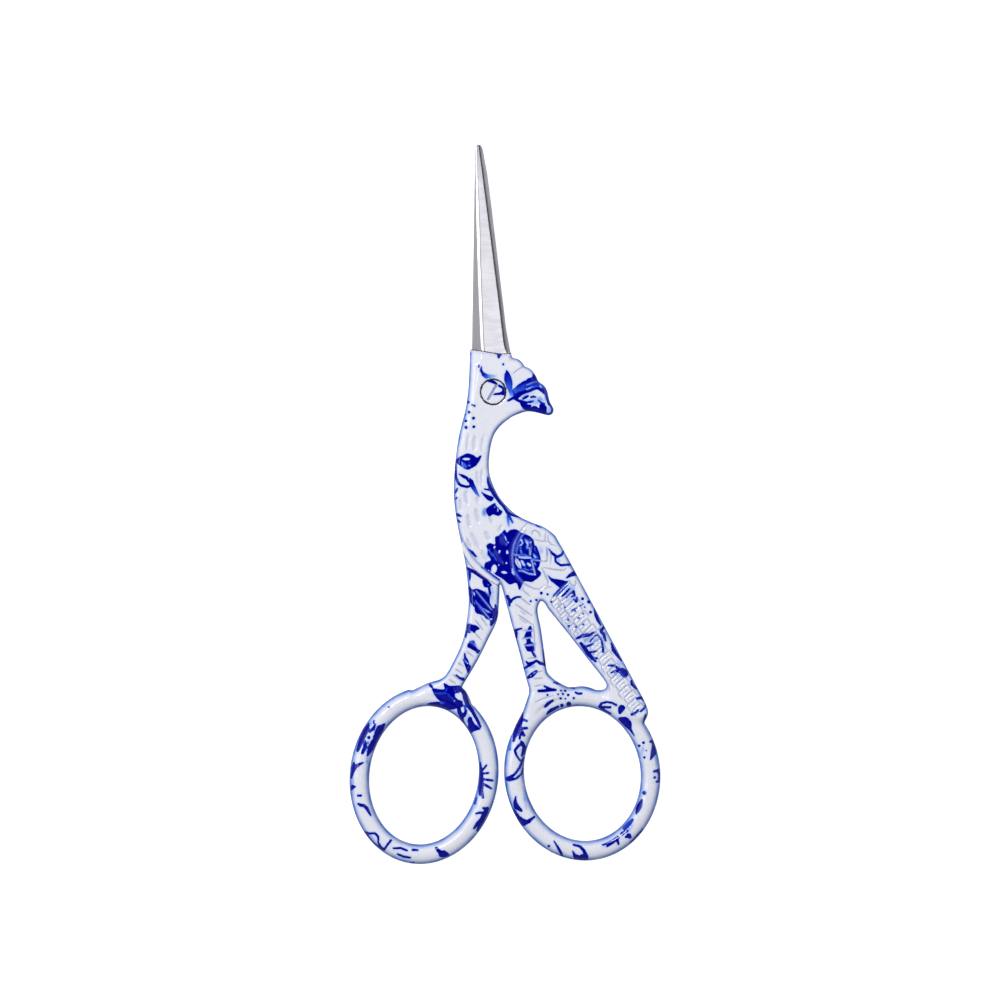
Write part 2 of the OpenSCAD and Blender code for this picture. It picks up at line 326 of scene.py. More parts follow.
# Engraving: each stroke is its width in the middle and its points. Strokes fade out at both ends.
neck_dashes = [
    (0.72, [(-2.95, -7), (-2.95, -8.2), (-3.1, -9.4)]),
    (0.51, [(-4.0, -6.6), (-4.1, -8), (-4.25, -9.4)]),
    (0.51, [(-1.5, -6.8), (-1.75, -8.2), (-1.9, -9.6)]),
    (0.58, [(-2.65, -12.6), (-2.5, -13.8), (-2.35, -15)]),
    (0.58, [(-1.75, -12.2), (-1.85, -13.8), (-1.9, -15.2)]),
    (0.72, [(-4.35, -15.7), (-4.3, -16.8), (-4.1, -18.1)]),
    (0.58, [(-2.6, -16.7), (-2.5, -17.3), (-2.35, -17.9)]),
    (0.72, [(-2.75, -18.6), (-2.55, -19.8), (-2.2, -21.1)]),
    (0.72, [(-4.05, -19.5), (-3.95, -20.6), (-3.65, -21.9)]),
    (0.58, [(-5.3, -17.2), (-5.25, -18.2), (-5.1, -19.2)]),
    (0.58, [(-0.7, -19.9), (-0.4, -20.5), (-0.05, -21.1)]),
    (0.72, [(-1.3, -22.3), (-0.95, -23), (-0.5, -23.9)]),
    (0.72, [(-3.5, -22.5), (-2.95, -23.7), (-2.2, -25.2)]),
    (0.58, [(1.35, -21.2), (1.15, -21.8), (0.8, -22.4)]),
    (0.58, [(-1.9, -25.2), (-1.5, -26.2), (-0.9, -27.3)]),
    (0.58, [(0.3, -25.2), (0.9, -26.6), (1.6, -27.6)]),
    (0.58, [(1.2, -23), (1.6, -23.8), (2.2, -24.6)]),
    (0.58, [(-4.2, -23.4), (-3.9, -24.2), (-3.4, -25.1)]),
]
body_lines = [
    (0.45, [(5.4, -21), (4.5, -22.1), (3.7, -23.3), (3.2, -24.6), (3.0, -26), (3.05, -27.4), (3.3, -28.6),
            (3.9, -29.6), (4.8, -30.6), (5.6, -31.05), (6.5, -31.5), (7.4, -31.6), (8.3, -31)]),
    (0.3, [(5.3, -22.1), (4.6, -23), (4.0, -24.2), (3.7, -25.6), (3.65, -26.4)]),
    (0.35, [(3.6, -26.5), (4.0, -27.6), (4.6, -28.5)]),
    (0.3, [(3.2, -25.9), (4.4, -26.4), (6, -26.5)]),
    (0.3, [(5.9, -23.6), (6, -25), (5.9, -26.4)]),
    (0.35, [(7.8, -27), (6.2, -27), (6.4, -28.2), (6.7, -29.2), (5.6, -29), (4.6, -28.5)]),
    (0.35, [(6.2, -22.8), (6.3, -22.3), (6.8, -22.2), (7.4, -22.6), (7.5, -23.1)]),
    (0.3, [(6.6, -23.6), (7.6, -23.9), (8.6, -23.95)]),
    (0.3, [(8.35, -22.5), (8.35, -23.3), (8.4, -24.2)]),
    (0.3, [(8.75, -22.9), (8.85, -23.9), (9.3, -24.4), (10, -24.6)]),
    (0.4, [(8.5, -24.9), (8.65, -26), (8.65, -27.1), (7.8, -27.15)]),
    (0.3, [(9.1, -25.4), (9.3, -26.6), (9.2, -27.5)]),
    (0.4, [(7.8, -28.2), (8.3, -29.2), (8.8, -30.4), (8.7, -31.1)]),
    (0.35, [(8.1, -28.1), (8.9, -28.3), (10.2, -28.5), (11.3, -28.6), (11.7, -28.2)]),
    (0.3, [(8.3, -31.6), (8.7, -31.3), (9.3, -31.2)]),
    (0.3, [(12.3, -30.2), (12.5, -30.8), (13, -31.1), (13.3, -30.7), (13.1, -30.2)]),
]
leg_hatch = [
    (0.35, [(4.8, -31.8), (5.9, -32.7)]),
    (0.4, [(4.3, -32.9), (5.9, -34.1)]),
    (0.4, [(3.6, -34), (5.3, -35.2), (6.2, -35.8)]),
    (0.25, [(4.4, -35.1), (5.3, -35.7)]),
    (0.4, [(4, -35.7), (6.2, -37.2)]),
    (0.25, [(4.2, -36.3), (5.3, -37)]),
    (0.3, [(6.4, -37.2), (6.65, -39.4), (6.7, -42.4)]),
    (0.3, [(4.6, -38.25), (6.4, -38.1)]),
    (0.3, [(4.6, -39.5), (6.4, -39.3)]),
    (0.3, [(5.2, -40.6), (6.7, -40.4)]),
    (0.3, [(5.5, -42.7), (7.1, -42.5)]),
    (0.3, [(6.4, -44.9), (7.9, -44.7)]),
    (0.3, [(6.5, -45.95), (7.9, -45.8)]),
    (0.3, [(6.6, -47.15), (7.9, -46.9)]),
    (0.3, [(6.7, -49.7), (8, -49.1), (9.6, -48.6)]),
    (0.3, [(18.55, -46.7), (18.6, -47.9)]),
]
rear_hatch = [
    (0.35, [(-2.7, -31.8), (-1.6, -33.2), (-0.1, -35)]),
    (0.35, [(-1.3, -31.8), (-0.3, -33)]),
    (0.35, [(-2.8, -33.6), (-1.7, -35), (-0.4, -36.5)]),
    (0.3, [(-1.5, -34.7), (-0.3, -35.4)]),
    (0.35, [(-2.9, -36.5), (-1.6, -38.1)]),
    (0.35, [(-2, -36), (-0.9, -37.5)]),
    (0.35, [(-2.9, -38.6), (-1.9, -39.7)]),
    (0.3, [(-3.6, -40), (-2.4, -41)]),
    (0.35, [(-4.3, -41.5), (-3.1, -42.4)]),
    (0.3, [(-4.9, -42.8), (-4, -43.5)]),
    (0.35, [(-5.6, -43.3), (-4.8, -44)]),
    (0.35, [(-6, -44.4), (-4.8, -45.2)]),
    (0.35, [(-6.5, -45.2), (-5.1, -46.3)]),
    (0.35, [(-7.1, -46), (-6, -46.7)]),
]
crest_folds = [
    (0.3, [(5, 4.15), (4.1, 3.6), (3.2, 2.9)]),
    (0.3, [(7.1, 1.7), (6.2, 1.5), (5.4, 1.1)]),
]
fetlock = [
    (0.35, [(9.1, -33.4), (10.6, -31.8), (12.3, -30.1)]),
    (0.35, [(10.1, -32.9), (12.4, -30.5)]),
    (0.35, [(15, -40.1), (16.5, -38.4), (18, -37)]),
    (0.35, [(16.5, -38.4), (17.3, -39.6), (18.1, -41)]),
    (0.3, [(14, -39.5), (14.9, -38.4)]),
]


# The plates: widths of the cuts between them and of the vein across each, how much narrower each
# plate is than the one above it, and how far they stand out to one side and the other in turn
rung_w = 0.36
rail_w = 0.32
vein_w = 0.22
plate_narrowing = 0.018
plate_shift = 0.14


def plate_rows(start, end, rung, count):
    """A row of little plates down the hind leg: slanting rungs between two broken rails."""
    start, end, rung = np.array(start), np.array(end), np.array(rung)
    fall = (end - start) / (count - 1)
    strokes = []
    for number in range(count):
        middle = start + (end - start) * number / (count - 1)
        half = rung * (1.0 - plate_narrowing * number)
        middle = middle + half * (plate_shift if number % 2 else -plate_shift)
        rails = [middle - half * 1.05, middle + half * 1.05]
        strokes.append((rung_w, rails))
        strokes.append((vein_w, [middle + fall * 0.5 - half * 0.6, middle + fall * 0.5 + half * 0.55]))
        for rail in rails:
            strokes.append((rail_w, [rail, rail + fall * 0.9]))
    return strokes


plates = plate_rows((11.6, -32.9), (22.9, -50.5), (1, 0.92), 18)
plates += plate_rows((9.9, -33.4), (13.2, -38.3), (0.5, 0.46), 6)
front_engraving = neck_dashes + body_lines + leg_hatch + crest_folds + fetlock + plates
# Strokes narrower than this are cut lines, and wider ones are the soft dimples on the neck
cut_w = 0.5
# Cut lines and dimples: half width as a share of the stroke's width, how clearly the groove takes
# the blue-grey tint of glaze and painted shade, and its depth as a share of its half width
cut_line = (0.5, 1, 0.8)
dimple = (0.62, 0.4, 0.45)
# Share of its width that a stroke has at its two ends
cut_end = 0.35
# The ridge that runs on from the blade down the neck, and the fall of the facet to its left
neck_ridge = [(-1.75, 6.9), (-2.1, 4.2), (-2.5, 1.5), (-2.95, -1), (-3.55, -4), (-4.1, -7), (-4.75, -10.2)]
rear_ridge = [(1.2, 6.9), (1.15, 4), (0.95, 1.5), (0.35, -1.5), (-0.6, -4.5), (-1.5, -8), (-1.9, -11)]
facet_slope = math.tan(math.radians(9))
# Fine raised lines along the ridges, where the glaze catches the light: their height, their width
# and the length over which they fade out
line_t = 0.03
line_w = 0.32
line_fade = 1.5
leg_ridge = [(-3.3, -38.2), (-3.9, -40), (-4.9, -42), (-6.1, -44.2), (-7.7, -46.4)]


def carving(points, strokes):
    """Where each point lies in the strokes, from 0 on the face to 1 in the middle of a groove, and
    how deep the groove is there."""
    share = np.zeros(len(points))
    deep = np.zeros(len(points))
    for width, line in strokes:
        line = np.array(line, float)
        run = np.concatenate([[0], np.cumsum(np.hypot(*np.diff(line, axis=0).T))])
        near = near_to(points, line, width)
        broad, clear, slope = cut_line if width < cut_w else dimple
        for a, b, first, length in zip(line[:-1], line[1:], run[:-1], np.diff(run)):
            away, t = to_segment(points[near], a, b)
            at = (first + t * length) / run[-1]
            half = width * broad * np.minimum(1, cut_end + 3 * np.minimum(at, 1 - at))
            groove = np.clip(1 - (away / half) ** 2, 0, 1)
            share[near] = np.maximum(share[near], clear * groove)
            deep[near] = np.maximum(deep[near], groove * half * slope)
    return share, deep


# The print, listed mark by mark. A brush stroke is its tone and its points, each with the stroke's
# width there; a tone of 1 is the deepest cobalt, and two tones fade from the first to the second.
# A patch is a tone and its outline, a dot is its place and radius, a bare spot or a wash is its
# place, its half width and half height and its turn in degrees, and a wash has a strength too.
head_strokes = [
    (1, [(-2.32, 4.35, 0.2), (-2.28, 3.95, 0.26)]),
    ((1, 0.75), [(-1.9, 4, 0.16), (-1.95, 3.4, 0.42), (-1.65, 2.95, 0.5), (-1.2, 2.75, 0.4)]),
    ((0.8, 0.2), [(-1.6, 2.75, 0.5), (-1.1, 2.5, 0.8), (-0.4, 2.5, 0.6), (0.35, 2.5, 0.3)]),
    ((1, 0.6), [(2.1, 3.45, 0.16), (2.25, 3, 0.6), (2.45, 2.3, 0.95), (2.6, 1.5, 1.0), (2.7, 0.7, 0.75)]),
    ((0.85, 0.5), [(1.95, 2.9, 0.3), (2.1, 2, 0.7), (2.3, 1.2, 0.7), (2.6, 0.4, 0.6), (3, -0.3, 0.7)]),
    ((1, 0.78), [(6.9, 2.1, 0.8), (6, 1.75, 0.8), (5, 1.4, 0.7), (4.2, 0.95, 0.6), (3.5, 0.4, 0.4)]),
    ((0.78, 0.6), [(7.2, 1.35, 0.8), (6, 1.3, 1), (5, 0.95, 1.1), (4.1, 0.5, 1), (3.4, 0.1, 0.9)]),
    (1, [(8.15, -0.2, 0.35), (7.7, 0.3, 0.5), (7.1, 0.7, 0.55), (6.4, 0.5, 0.6), (5.7, 0.15, 0.55),
         (5, 0.0, 0.6), (4.3, -0.3, 0.75), (3.8, -0.75, 0.8), (3.2, -0.95, 0.45), (2.4, -1.4, 0.35)]),
    (0.85, [(3.1, 0.1, 0.4), (3.5, -0.5, 0.6)]),
    (0.95, [(3.4, -1.1, 0.35), (4.2, -1.45, 0.5), (5.2, -1.75, 0.5)]),
    (0.95, [(4.75, -1.1, 0.3), (5.2, -0.85, 0.45), (5.6, -0.65, 0.3)]),
    (0.95, [(6, -0.85, 0.3), (6.4, -0.75, 0.38), (6.8, -0.85, 0.25)]),
    (0.8, [(5.5, -1.65, 0.35), (6, -1.6, 0.45), (6.4, -1.45, 0.25)]),
    (0.75, [(7.2, -1.3, 0.2), (7.6, -1.7, 0.3), (8.2, -1.9, 0.3)]),
    ((0.65, 0.95), [(7.5, 1.3, 0.3), (8.1, 0.8, 0.5), (8.5, 0, 0.55), (8.7, -1, 0.6), (9, -1.9, 0.6)]),
    (0.8, [(9.25, -2.2, 0.45), (9.5, -2.8, 0.4), (9.35, -3.4, 0.45), (8.8, -3.6, 0.5)]),
    (1, [(-1, 1.75, 0.2), (-0.5, 1.75, 0.45), (0, 1.6, 0.5), (0.55, 1.3, 0.3)]),
]
head_patches = [
    (1, [(0.35, 6.35), (1.6, 6.35), (1.25, 5.85), (1, 5.35), (0.7, 5.5), (0.62, 5.9)]),
    (1, [(6.4, 2.95), (6.95, 2.4), (7.05, 1.95), (6.2, 2), (5.5, 1.9), (5.1, 1.75), (5.6, 2.15),
         (6.2, 2.4)]),
    (1, [(4.3, -1.7), (5, -1.75), (5.6, -2), (6.1, -2.1), (6.05, -2.5), (6.45, -2.25), (6.9, -2.3),
         (7.3, -2.6), (7.45, -2), (8, -1.9), (8.5, -2.3), (8.55, -3), (8.45, -3.55), (7.4, -3.4),
         (6.2, -3.05), (5.2, -2.95), (4.7, -2.6), (4.4, -2.1)]),
    (1, [(0.8, 1.15), (1.3, 1.05), (1.75, 0.7), (1.93, 0), (1.88, -0.5), (1.2, -0.5), (0.05, -0.5),
         (0.3, -0.2), (0.9, -0.1), (1.35, 0.1), (1.4, 0.45), (1.1, 0.7), (0.8, 0.85)]),
]
head_washes = [
    (7.4, -1.2, 0.5, 0.5, 0, 0.5), (8.4, -0.9, 0.3, 0.9, 0, 0.35), (9, -2.8, 0.5, 0.7, 0, 0.3),
    (5, -0.7, 0.9, 0.5, 20, 0.4), (6.5, -1.5, 1.9, 0.6, 0, 0.36), (5.6, -0.3, 1.3, 0.4, 10, 0.3),
    (2.9, -0.5, 0.5, 0.5, 0, 0.4),
]
head_dots = [(1.6, 4.4, 0.19)]

neck_strokes = [
    (1, [(-6.05, -10.9, 0.3), (-6.0, -12.2, 0.35), (-6, -13.5, 0.45), (-5.6, -14.6, 0.45), (-5.1, -15, 0.4),
         (-4.2, -15.2, 0.4), (-3.3, -15, 0.4)]),
    ((1, 0.35), [(-3.6, -14.4, 0.7), (-3.2, -15.2, 0.75), (-2.8, -15.9, 0.6), (-2.3, -16.7, 0.3)]),
    (1, [(-5.4, -13.2, 0.2), (-4.8, -13.5, 0.5), (-4.2, -13.8, 0.5), (-4, -14.3, 0.25)]),
    (1, [(-3.7, -13.85, 0.2), (-3.5, -14.4, 0.7), (-3.2, -15, 0.6)]),
    (1, [(-5.7, -15.4, 0.2), (-5.9, -15.8, 0.42), (-6.1, -16.2, 0.2)]),
    (0.9, [(-5.75, -16.9, 0.22), (-6, -17.1, 0.35)]),
    (1, [(-6.05, -19.55, 0.35), (-5.6, -19.7, 0.5), (-5.15, -19.9, 0.25)]),
    (0.95, [(-5.7, -20.5, 0.3), (-5.35, -20.85, 0.3)]),
    (1, [(-0.85, -13.6, 0.25), (-0.8, -14.4, 0.45), (-0.5, -15.3, 0.6), (0.1, -16.3, 0.6), (1, -17.6, 0.45),
         (1.7, -18.4, 0.45), (2.3, -19.3, 0.5), (3.3, -19.8, 0.35), (4.6, -20.1, 0.3)]),
    (1, [(-1.35, -15.55, 0.25), (-0.5, -15.7, 0.35)]),
    ((1, 0.5), [(2.2, -19.3, 0.4), (2.7, -20.1, 0.35), (3.1, -20.9, 0.35)]),
    ((0.6, 0.3), [(2.3, -19.9, 0.3), (2.4, -20.7, 0.4), (2.5, -21.4, 0.35)]),
    (0.85, [(6.8, -21.3, 0.15), (7.2, -21.5, 0.3), (7.6, -21.65, 0.2)]),
]
neck_patches = [
    (1, [(-5.9, -10.8), (-5, -10.2), (-4.1, -9.85), (-3.2, -10.1), (-2.6, -10.5), (-2.2, -10.2),
         (-1.85, -10.3), (-2.3, -11.2), (-2.9, -11.9), (-4.1, -12.45), (-5, -12), (-5.8, -11.4)]),
    (1, [(-1.95, -16), (-1.2, -16.35), (-0.6, -16.6), (0.1, -16.95), (-0.4, -17.5), (-1.2, -17)]),
    (1, [(-1.1, -18.7), (-0.2, -18), (0.3, -17.8), (0.5, -18.2), (1.2, -18.9), (1.5, -19.2), (0.9, -19.85),
         (0, -19.6), (-0.6, -19.9), (-1, -19.5)]),
]
neck_bare = [(-4.3, -10.75, 0.62, 0.2, 0), (0.75, -18.9, 0.12, 0.3, 10), (0.25, -18.4, 0.1, 0.2, 0)]
neck_washes = [
    (-1.35, -19.2, 0.5, 0.75, 0, 0.6), (-4.4, -11.85, 0.35, 0.45, 0, 0.45), (-5.6, -13.2, 0.3, 0.6, 0, 0.3),
    (2.4, -20.3, 0.5, 0.9, 15, 0.35), (-1.7, -16, 0.5, 0.3, 0, 0.2), (-0.9, -17, 0.3, 0.3, 0, 0.3),
]
neck_dots = [
    (-4, -1.65, 0.25), (-3.35, -2.1, 0.16), (-3, -2.2, 0.2), (-3.85, -3.25, 0.25), (-4.5, -3.6, 0.16),
    (-4.4, -4.65, 0.23), (-3.15, -4.2, 0.25), (-4.35, -5.68, 0.27), (-3.1, -5.6, 0.23),
]

body_strokes = [
    (1, [(-4.1, -25.05, 0.2), (-3.4, -25.7, 0.5), (-2.75, -26.35, 0.3)]),
    (1, [(-1.9, -28, 0.25), (-1.3, -28.4, 0.3), (0.2, -29.55, 0.3), (1, -30.1, 0.3)]),
    ((1, 0.8), [(8.9, -25.15, 0.2), (9.5, -25.9, 0.45), (10.2, -26.4, 0.5), (10.9, -26.1, 0.4),
                (11.3, -25.4, 0.3)]),
    (0.95, [(9.9, -26.4, 0.35), (10, -27.2, 0.35), (10.8, -27.75, 0.4), (12.5, -27.6, 0.4)]),
    (1, [(11.75, -29.75, 0.25), (12.4, -29.3, 0.6), (13.1, -29.0, 0.9)]),
    (1, [(2.25, -32.7, 0.5), (2.6, -33.4, 0.5), (2.6, -34.2, 0.35)]),
    (1, [(2.6, -33.9, 0.4), (3.1, -33.2, 0.4), (3.7, -32.85, 0.35), (4.35, -32.8, 0.3)]),
]
body_patches = [
    (1, [(-1.1, -24.6), (-0.5, -24.2), (0.3, -24.4), (0.3, -23.3), (1, -22.9), (1.8, -22.1), (2.2, -22.5),
         (2.7, -22.1), (3.6, -22), (4.5, -22.5), (5.2, -22.75), (6, -23.2), (6.45, -23.7), (6.6, -24.4),
         (7, -24.8), (7.3, -25.6), (7.6, -26.8), (7.4, -27.8), (7.15, -28.35), (7.6, -28.8), (7.6, -29.3),
         (7, -29.9), (6.2, -30.4), (5.3, -30.3), (4.8, -30.5), (4.2, -31.7), (3.7, -30.6), (2.6, -30.8),
         (1.6, -30), (0.5, -29.3), (-0.5, -28.6), (-1.4, -28.2), (-1.2, -27.3), (-0.4, -26.9), (-0.9, -26),
         (-0.9, -25.3)]),
    (1, [(8.7, -29.25), (9.4, -29.8), (10.4, -30), (11.7, -30.3), (11.1, -30.9), (10.6, -31.3),
         (9.8, -30.7), (9.2, -30.2)]),
]
body_bare = [
    (0.2, -24.85, 0.17, 0.28, -20), (1, -25.55, 0.16, 0.3, -15), (2.25, -25.65, 0.2, 0.34, 0),
    (2.1, -27.4, 0.15, 0.24, 0), (0.9, -27.7, 0.13, 0.16, 0), (0.15, -28.35, 0.45, 0.7, -10),
    (1.75, -28.9, 0.5, 0.22, -10), (2.4, -24.1, 0.16, 0.12, 0), (4.0, -27.45, 0.36, 0.92, 27),
    (2, -23.4, 0.1, 0.5, 20), (5.9, -27.7, 0.2, 0.2, 0),
]
flower_thin = [
    (0.78, [(5.1, -21.8, 0.25), (4.2, -22.9, 0.3), (3.45, -24.2, 0.35), (3.1, -25.5, 0.35),
            (3.05, -26.8, 0.35), (3.3, -28.1, 0.35), (3.9, -29.3, 0.35), (4.8, -30.3, 0.3)]),
    (0.7, [(5.2, -22.4, 0.2), (4.4, -23.2, 0.2), (3.8, -24.3, 0.2), (3.5, -25.6, 0.2)]),
    (0.15, [(3.05, -28.3, 0.2), (3.15, -28.9, 0.4), (3.4, -29.3, 0.2)]),
    (0.45, [(3.4, -26.1, 0.25), (4.4, -26.05, 0.25), (5.2, -26.1, 0.25), (6.1, -26.7, 0.3),
            (7.5, -27.05, 0.25)]),
    (0.45, [(6.1, -26.8, 0.25), (6.4, -27.9, 0.25), (6.7, -29.1, 0.25)]),
    (0.4, [(4.1, -28.6, 0.3), (4.9, -28.75, 0.3), (5.8, -29.15, 0.3), (6.7, -29.25, 0.2)]),
    (0.1, [(4.5, -23.7, 0.3), (4.7, -24.1, 0.35), (4.3, -24.6, 0.2)]),
    (0.12, [(5.2, -23.6, 0.3), (5.5, -24.1, 0.35), (5.5, -24.9, 0.25), (5.2, -25.3, 0.2)]),
    (0.25, [(4.35, -24.9, 0.25), (4.5, -25.5, 0.25), (4.9, -25.9, 0.2)]),
    (0.12, [(5.9, -24.1, 0.2), (6.1, -24, 0.25)]),
    (0.35, [(5.8, -25, 0.25), (5.9, -26, 0.25)]),
    (0.05, [(4.2, -26.45, 0.3), (5.1, -26.5, 0.35), (5.9, -26.55, 0.2)]),
    (0.1, [(6.5, -25.9, 0.2), (6.7, -26.5, 0.3)]),
    (0.15, [(4.6, -27.1, 0.45), (4.9, -27.6, 0.45), (5.1, -27.9, 0.2)]),
    (0.12, [(5.6, -27.5, 0.4), (5.85, -27.8, 0.35)]),
    (0.25, [(6.6, -27.4, 0.3), (6.8, -27.6, 0.3)]),
    (0.4, [(4.9, -28.3, 0.2), (5.6, -28.5, 0.2), (6.2, -28.4, 0.2)]),
    (0.55, [(6.6, -24.9, 0.2), (6.9, -25.9, 0.2), (7.1, -26.6, 0.2)]),
    (0.6, [(1.5, -22.7, 0.3), (1.9, -23.4, 0.3), (2.3, -24, 0.2)]),
    (0.5, [(-0.7, -25.3, 0.3), (-0.1, -26.1, 0.3), (0.6, -27, 0.2)]),
    (0.85, [(2.65, -24, 0.15), (2.6, -26, 0.15), (2.75, -28, 0.15)]),
]
neck_thin = [
    (0.55, [(-4.7, -11.4, 0.2), (-4.45, -11.8, 0.55), (-4.4, -12.2, 0.3)]),
    (0.3, [(-5.05, -11.1, 0.12), (-4.95, -11.7, 0.18), (-4.75, -12.1, 0.12)]),
    (0.3, [(-3.85, -11.2, 0.1), (-3.8, -11.9, 0.16)]),
]
head_thin = [
    (0.5, [(5.4, 0.25, 0.12), (6.4, 0.75, 0.16), (7.2, 0.9, 0.12)]),
]
body_washes = [
    (1.8, -22.7, 0.4, 0.7, 25, 0.4), (-0.6, -26.1, 0.6, 0.5, -30, 0.5),
    (8.7, -25.6, 0.25, 0.9, 0, 0.4), (7.6, -25.3, 0.5, 0.7, 0, 0.35), (10.4, -27, 0.4, 0.5, 0, 0.35),
    (4.6, -31.4, 0.5, 0.5, 0, 0.3), (-2.7, -26.6, 0.5, 0.4, -40, 0.25), (3.4, -23, 0.2, 1.2, -25, 0.35),
]

leg_strokes = [
    (1, [(3.55, -38.1, 0.4), (3.7, -38.7, 0.5), (3.7, -39.4, 0.3)]),
    (1, [(3.7, -38.1, 0.4), (4.55, -37.85, 0.25)]),
    (0.5, [(5.3, -38.3, 0.3), (5.9, -38.2, 0.4), (6.3, -38.2, 0.2)]),
    (0.48, [(4.9, -39.4, 0.25), (5.5, -39.4, 0.35), (6.15, -39.3, 0.3)]),
    (0.5, [(5.1, -40.5, 0.3), (5.8, -40.55, 0.4), (6.7, -40.4, 0.3)]),
    (1, [(6.3, -41.7, 0.3), (6.5, -42, 0.45), (6.75, -42.4, 0.3)]),
    (1, [(5.25, -43.1, 0.2), (5.6, -43.5, 0.45), (6.3, -43.4, 0.5), (6.9, -43, 0.35), (7.5, -43.4, 0.5),
         (8.3, -43.65, 0.45)]),
    (1, [(8, -41.3, 0.25), (8.2, -42.4, 0.5), (8.35, -43.8, 0.4)]),
    (1, [(4.9, -44.3, 0.35), (5.4, -44, 0.45), (6, -43.7, 0.35)]),
    (1, [(5.6, -45.7, 0.5), (6.2, -45.3, 0.75), (6.9, -44.75, 0.5)]),
    (1, [(9.6, -32.65, 0.22), (10.6, -31.6, 0.3), (11.9, -30.35, 0.25)]),
    (0.95, [(10.1, -32.7, 0.2), (11, -31.8, 0.25), (11.9, -31, 0.22)]),
    (1, [(11, -32.7, 0.3), (11.6, -32.2, 0.35), (12.2, -31.5, 0.3)]),
    (1, [(11.7, -32.9, 0.28), (12.3, -32.3, 0.3), (12.9, -31.9, 0.35), (13, -32.6, 0.4),
         (12.5, -32.8, 0.25)]),
    (1, [(12.9, -33.2, 0.3), (13.3, -33.5, 0.5), (13.4, -32.9, 0.3)]),
    (0.9, [(12.6, -34.95, 0.25), (13.4, -34.6, 0.2)]),
    (1, [(16.15, -34.7, 0.2), (16.4, -35.6, 0.5), (16.8, -36.6, 0.5), (17.2, -37.3, 0.25)]),
    (1, [(17.9, -37.5, 0.45), (17.2, -38.2, 0.5), (17.7, -38.9, 0.5), (18, -39.8, 0.35)]),
    (1, [(13.3, -39.5, 0.35), (14.3, -39, 0.6), (15.4, -38.9, 0.6), (16.1, -38.5, 0.3)]),
    (1, [(14, -40.2, 0.45), (14.6, -41, 0.7), (15.3, -42, 0.7), (16.4, -43.1, 0.35)]),
    (1, [(14.8, -40.8, 0.4), (15.95, -40.35, 0.35)]),
    (1, [(15.3, -41.7, 0.4), (16.5, -41.5, 0.32)]),
    (1, [(15.8, -42.7, 0.4), (16.65, -42.6, 0.32)]),
    (1, [(15.5, -40, 0.25), (16.1, -39.1, 0.3), (16.7, -38.85, 0.3), (17.4, -39.8, 0.35),
         (17.6, -41.6, 0.4)]),
    (1, [(18.9, -40.2, 0.3), (19.3, -41.4, 0.6), (20.5, -43, 0.3)]),
    (1, [(18.5, -43.8, 0.35), (19.4, -43.8, 0.4), (20.2, -44.4, 0.4)]),
    (1, [(18.9, -44.9, 0.3), (19.8, -44.6, 0.4), (20.3, -44.9, 0.4)]),
    (1, [(22.1, -46.2, 0.3), (22.2, -46.8, 0.5), (22.9, -47.5, 0.3)]),
    (1, [(23, -49.1, 0.4), (23.7, -48.9, 0.5), (24.2, -49.4, 0.35)]),
    (1, [(23.6, -51.1, 0.3), (24.2, -50.6, 0.35), (24.5, -49.9, 0.3)]),
    (1, [(24.05, -53, 0.3), (24.25, -52.3, 0.45), (24.4, -51.6, 0.25)]),
]
leg_patches = [
    (1, [(5.5, -38.1), (5.75, -37.6), (5.95, -37.4), (6.15, -37.7), (6.2, -38.05), (5.9, -38.12)]),
    (1, [(5.25, -38.5), (5.75, -38.4), (6.1, -38.3), (6.1, -39.15), (5.7, -39.25), (5.2, -39.3),
         (5, -39.15)]),
    (1, [(5.3, -39.6), (5.9, -39.5), (6.05, -39.95), (6.4, -40.15), (6.2, -40.35), (5.6, -40.4),
         (5.15, -40.45), (5.35, -40)]),
    (1, [(5.05, -40.3), (5.3, -40.7), (6.4, -40.65), (6.6, -41.1), (6.5, -41.5), (6.1, -41.55),
         (5.5, -41.5), (5.2, -41)]),
    (1, [(19.9, -44.1), (20.8, -44.2), (21.5, -44.6), (21.6, -45.3), (21.1, -45.8), (20.5, -45.4),
         (20.2, -44.8)]),
]
leg_bare = [(6.45, -45.05, 0.25, 0.08, 30), (6, -45.4, 0.13, 0.1, 30)]
leg_washes = [
    (12.2, -31.8, 1.1, 0.8, 40, 0.4), (12.6, -33.2, 0.8, 0.6, 40, 0.3), (3.9, -38.8, 0.4, 0.8, 0, 0.3),
    (15.6, -39.7, 1.6, 0.5, 0, 0.35), (17.9, -38.8, 0.4, 1, -20, 0.4), (15, -42, 1, 1.2, 35, 0.4),
    (20.3, -43.4, 0.8, 0.5, -40, 0.35), (20, -45.1, 0.9, 0.5, 0, 0.35), (5.9, -43.9, 1.1, 0.4, 0, 0.35),
    (5.4, -44.6, 0.4, 0.6, 0, 0.4), (16.8, -36.3, 0.3, 0.8, -20, 0.3), (22, -46.5, 0.4, 0.5, 0, 0.25),
]
leg_dots = [
    (7.7, -32.2, 0.24), (8.7, -32.4, 0.18), (6, -33.5, 0.17), (6.9, -33.3, 0.2), (9.3, -33.6, 0.2),
    (14.3, -33.1, 0.25), (15.3, -33.6, 0.3), (11.5, -34.5, 0.16), (13.1, -35, 0.19), (14, -34.2, 0.15),
    (14.35, -33.95, 0.13), (14.65, -34.45, 0.13), (15.6, -35.25, 0.24), (14.4, -35.5, 0.19),
    (13.7, -36.2, 0.18), (12, -36.45, 0.2), (12.1, -37.5, 0.24), (13.3, -37.6, 0.2), (14.4, -37.2, 0.19),
]

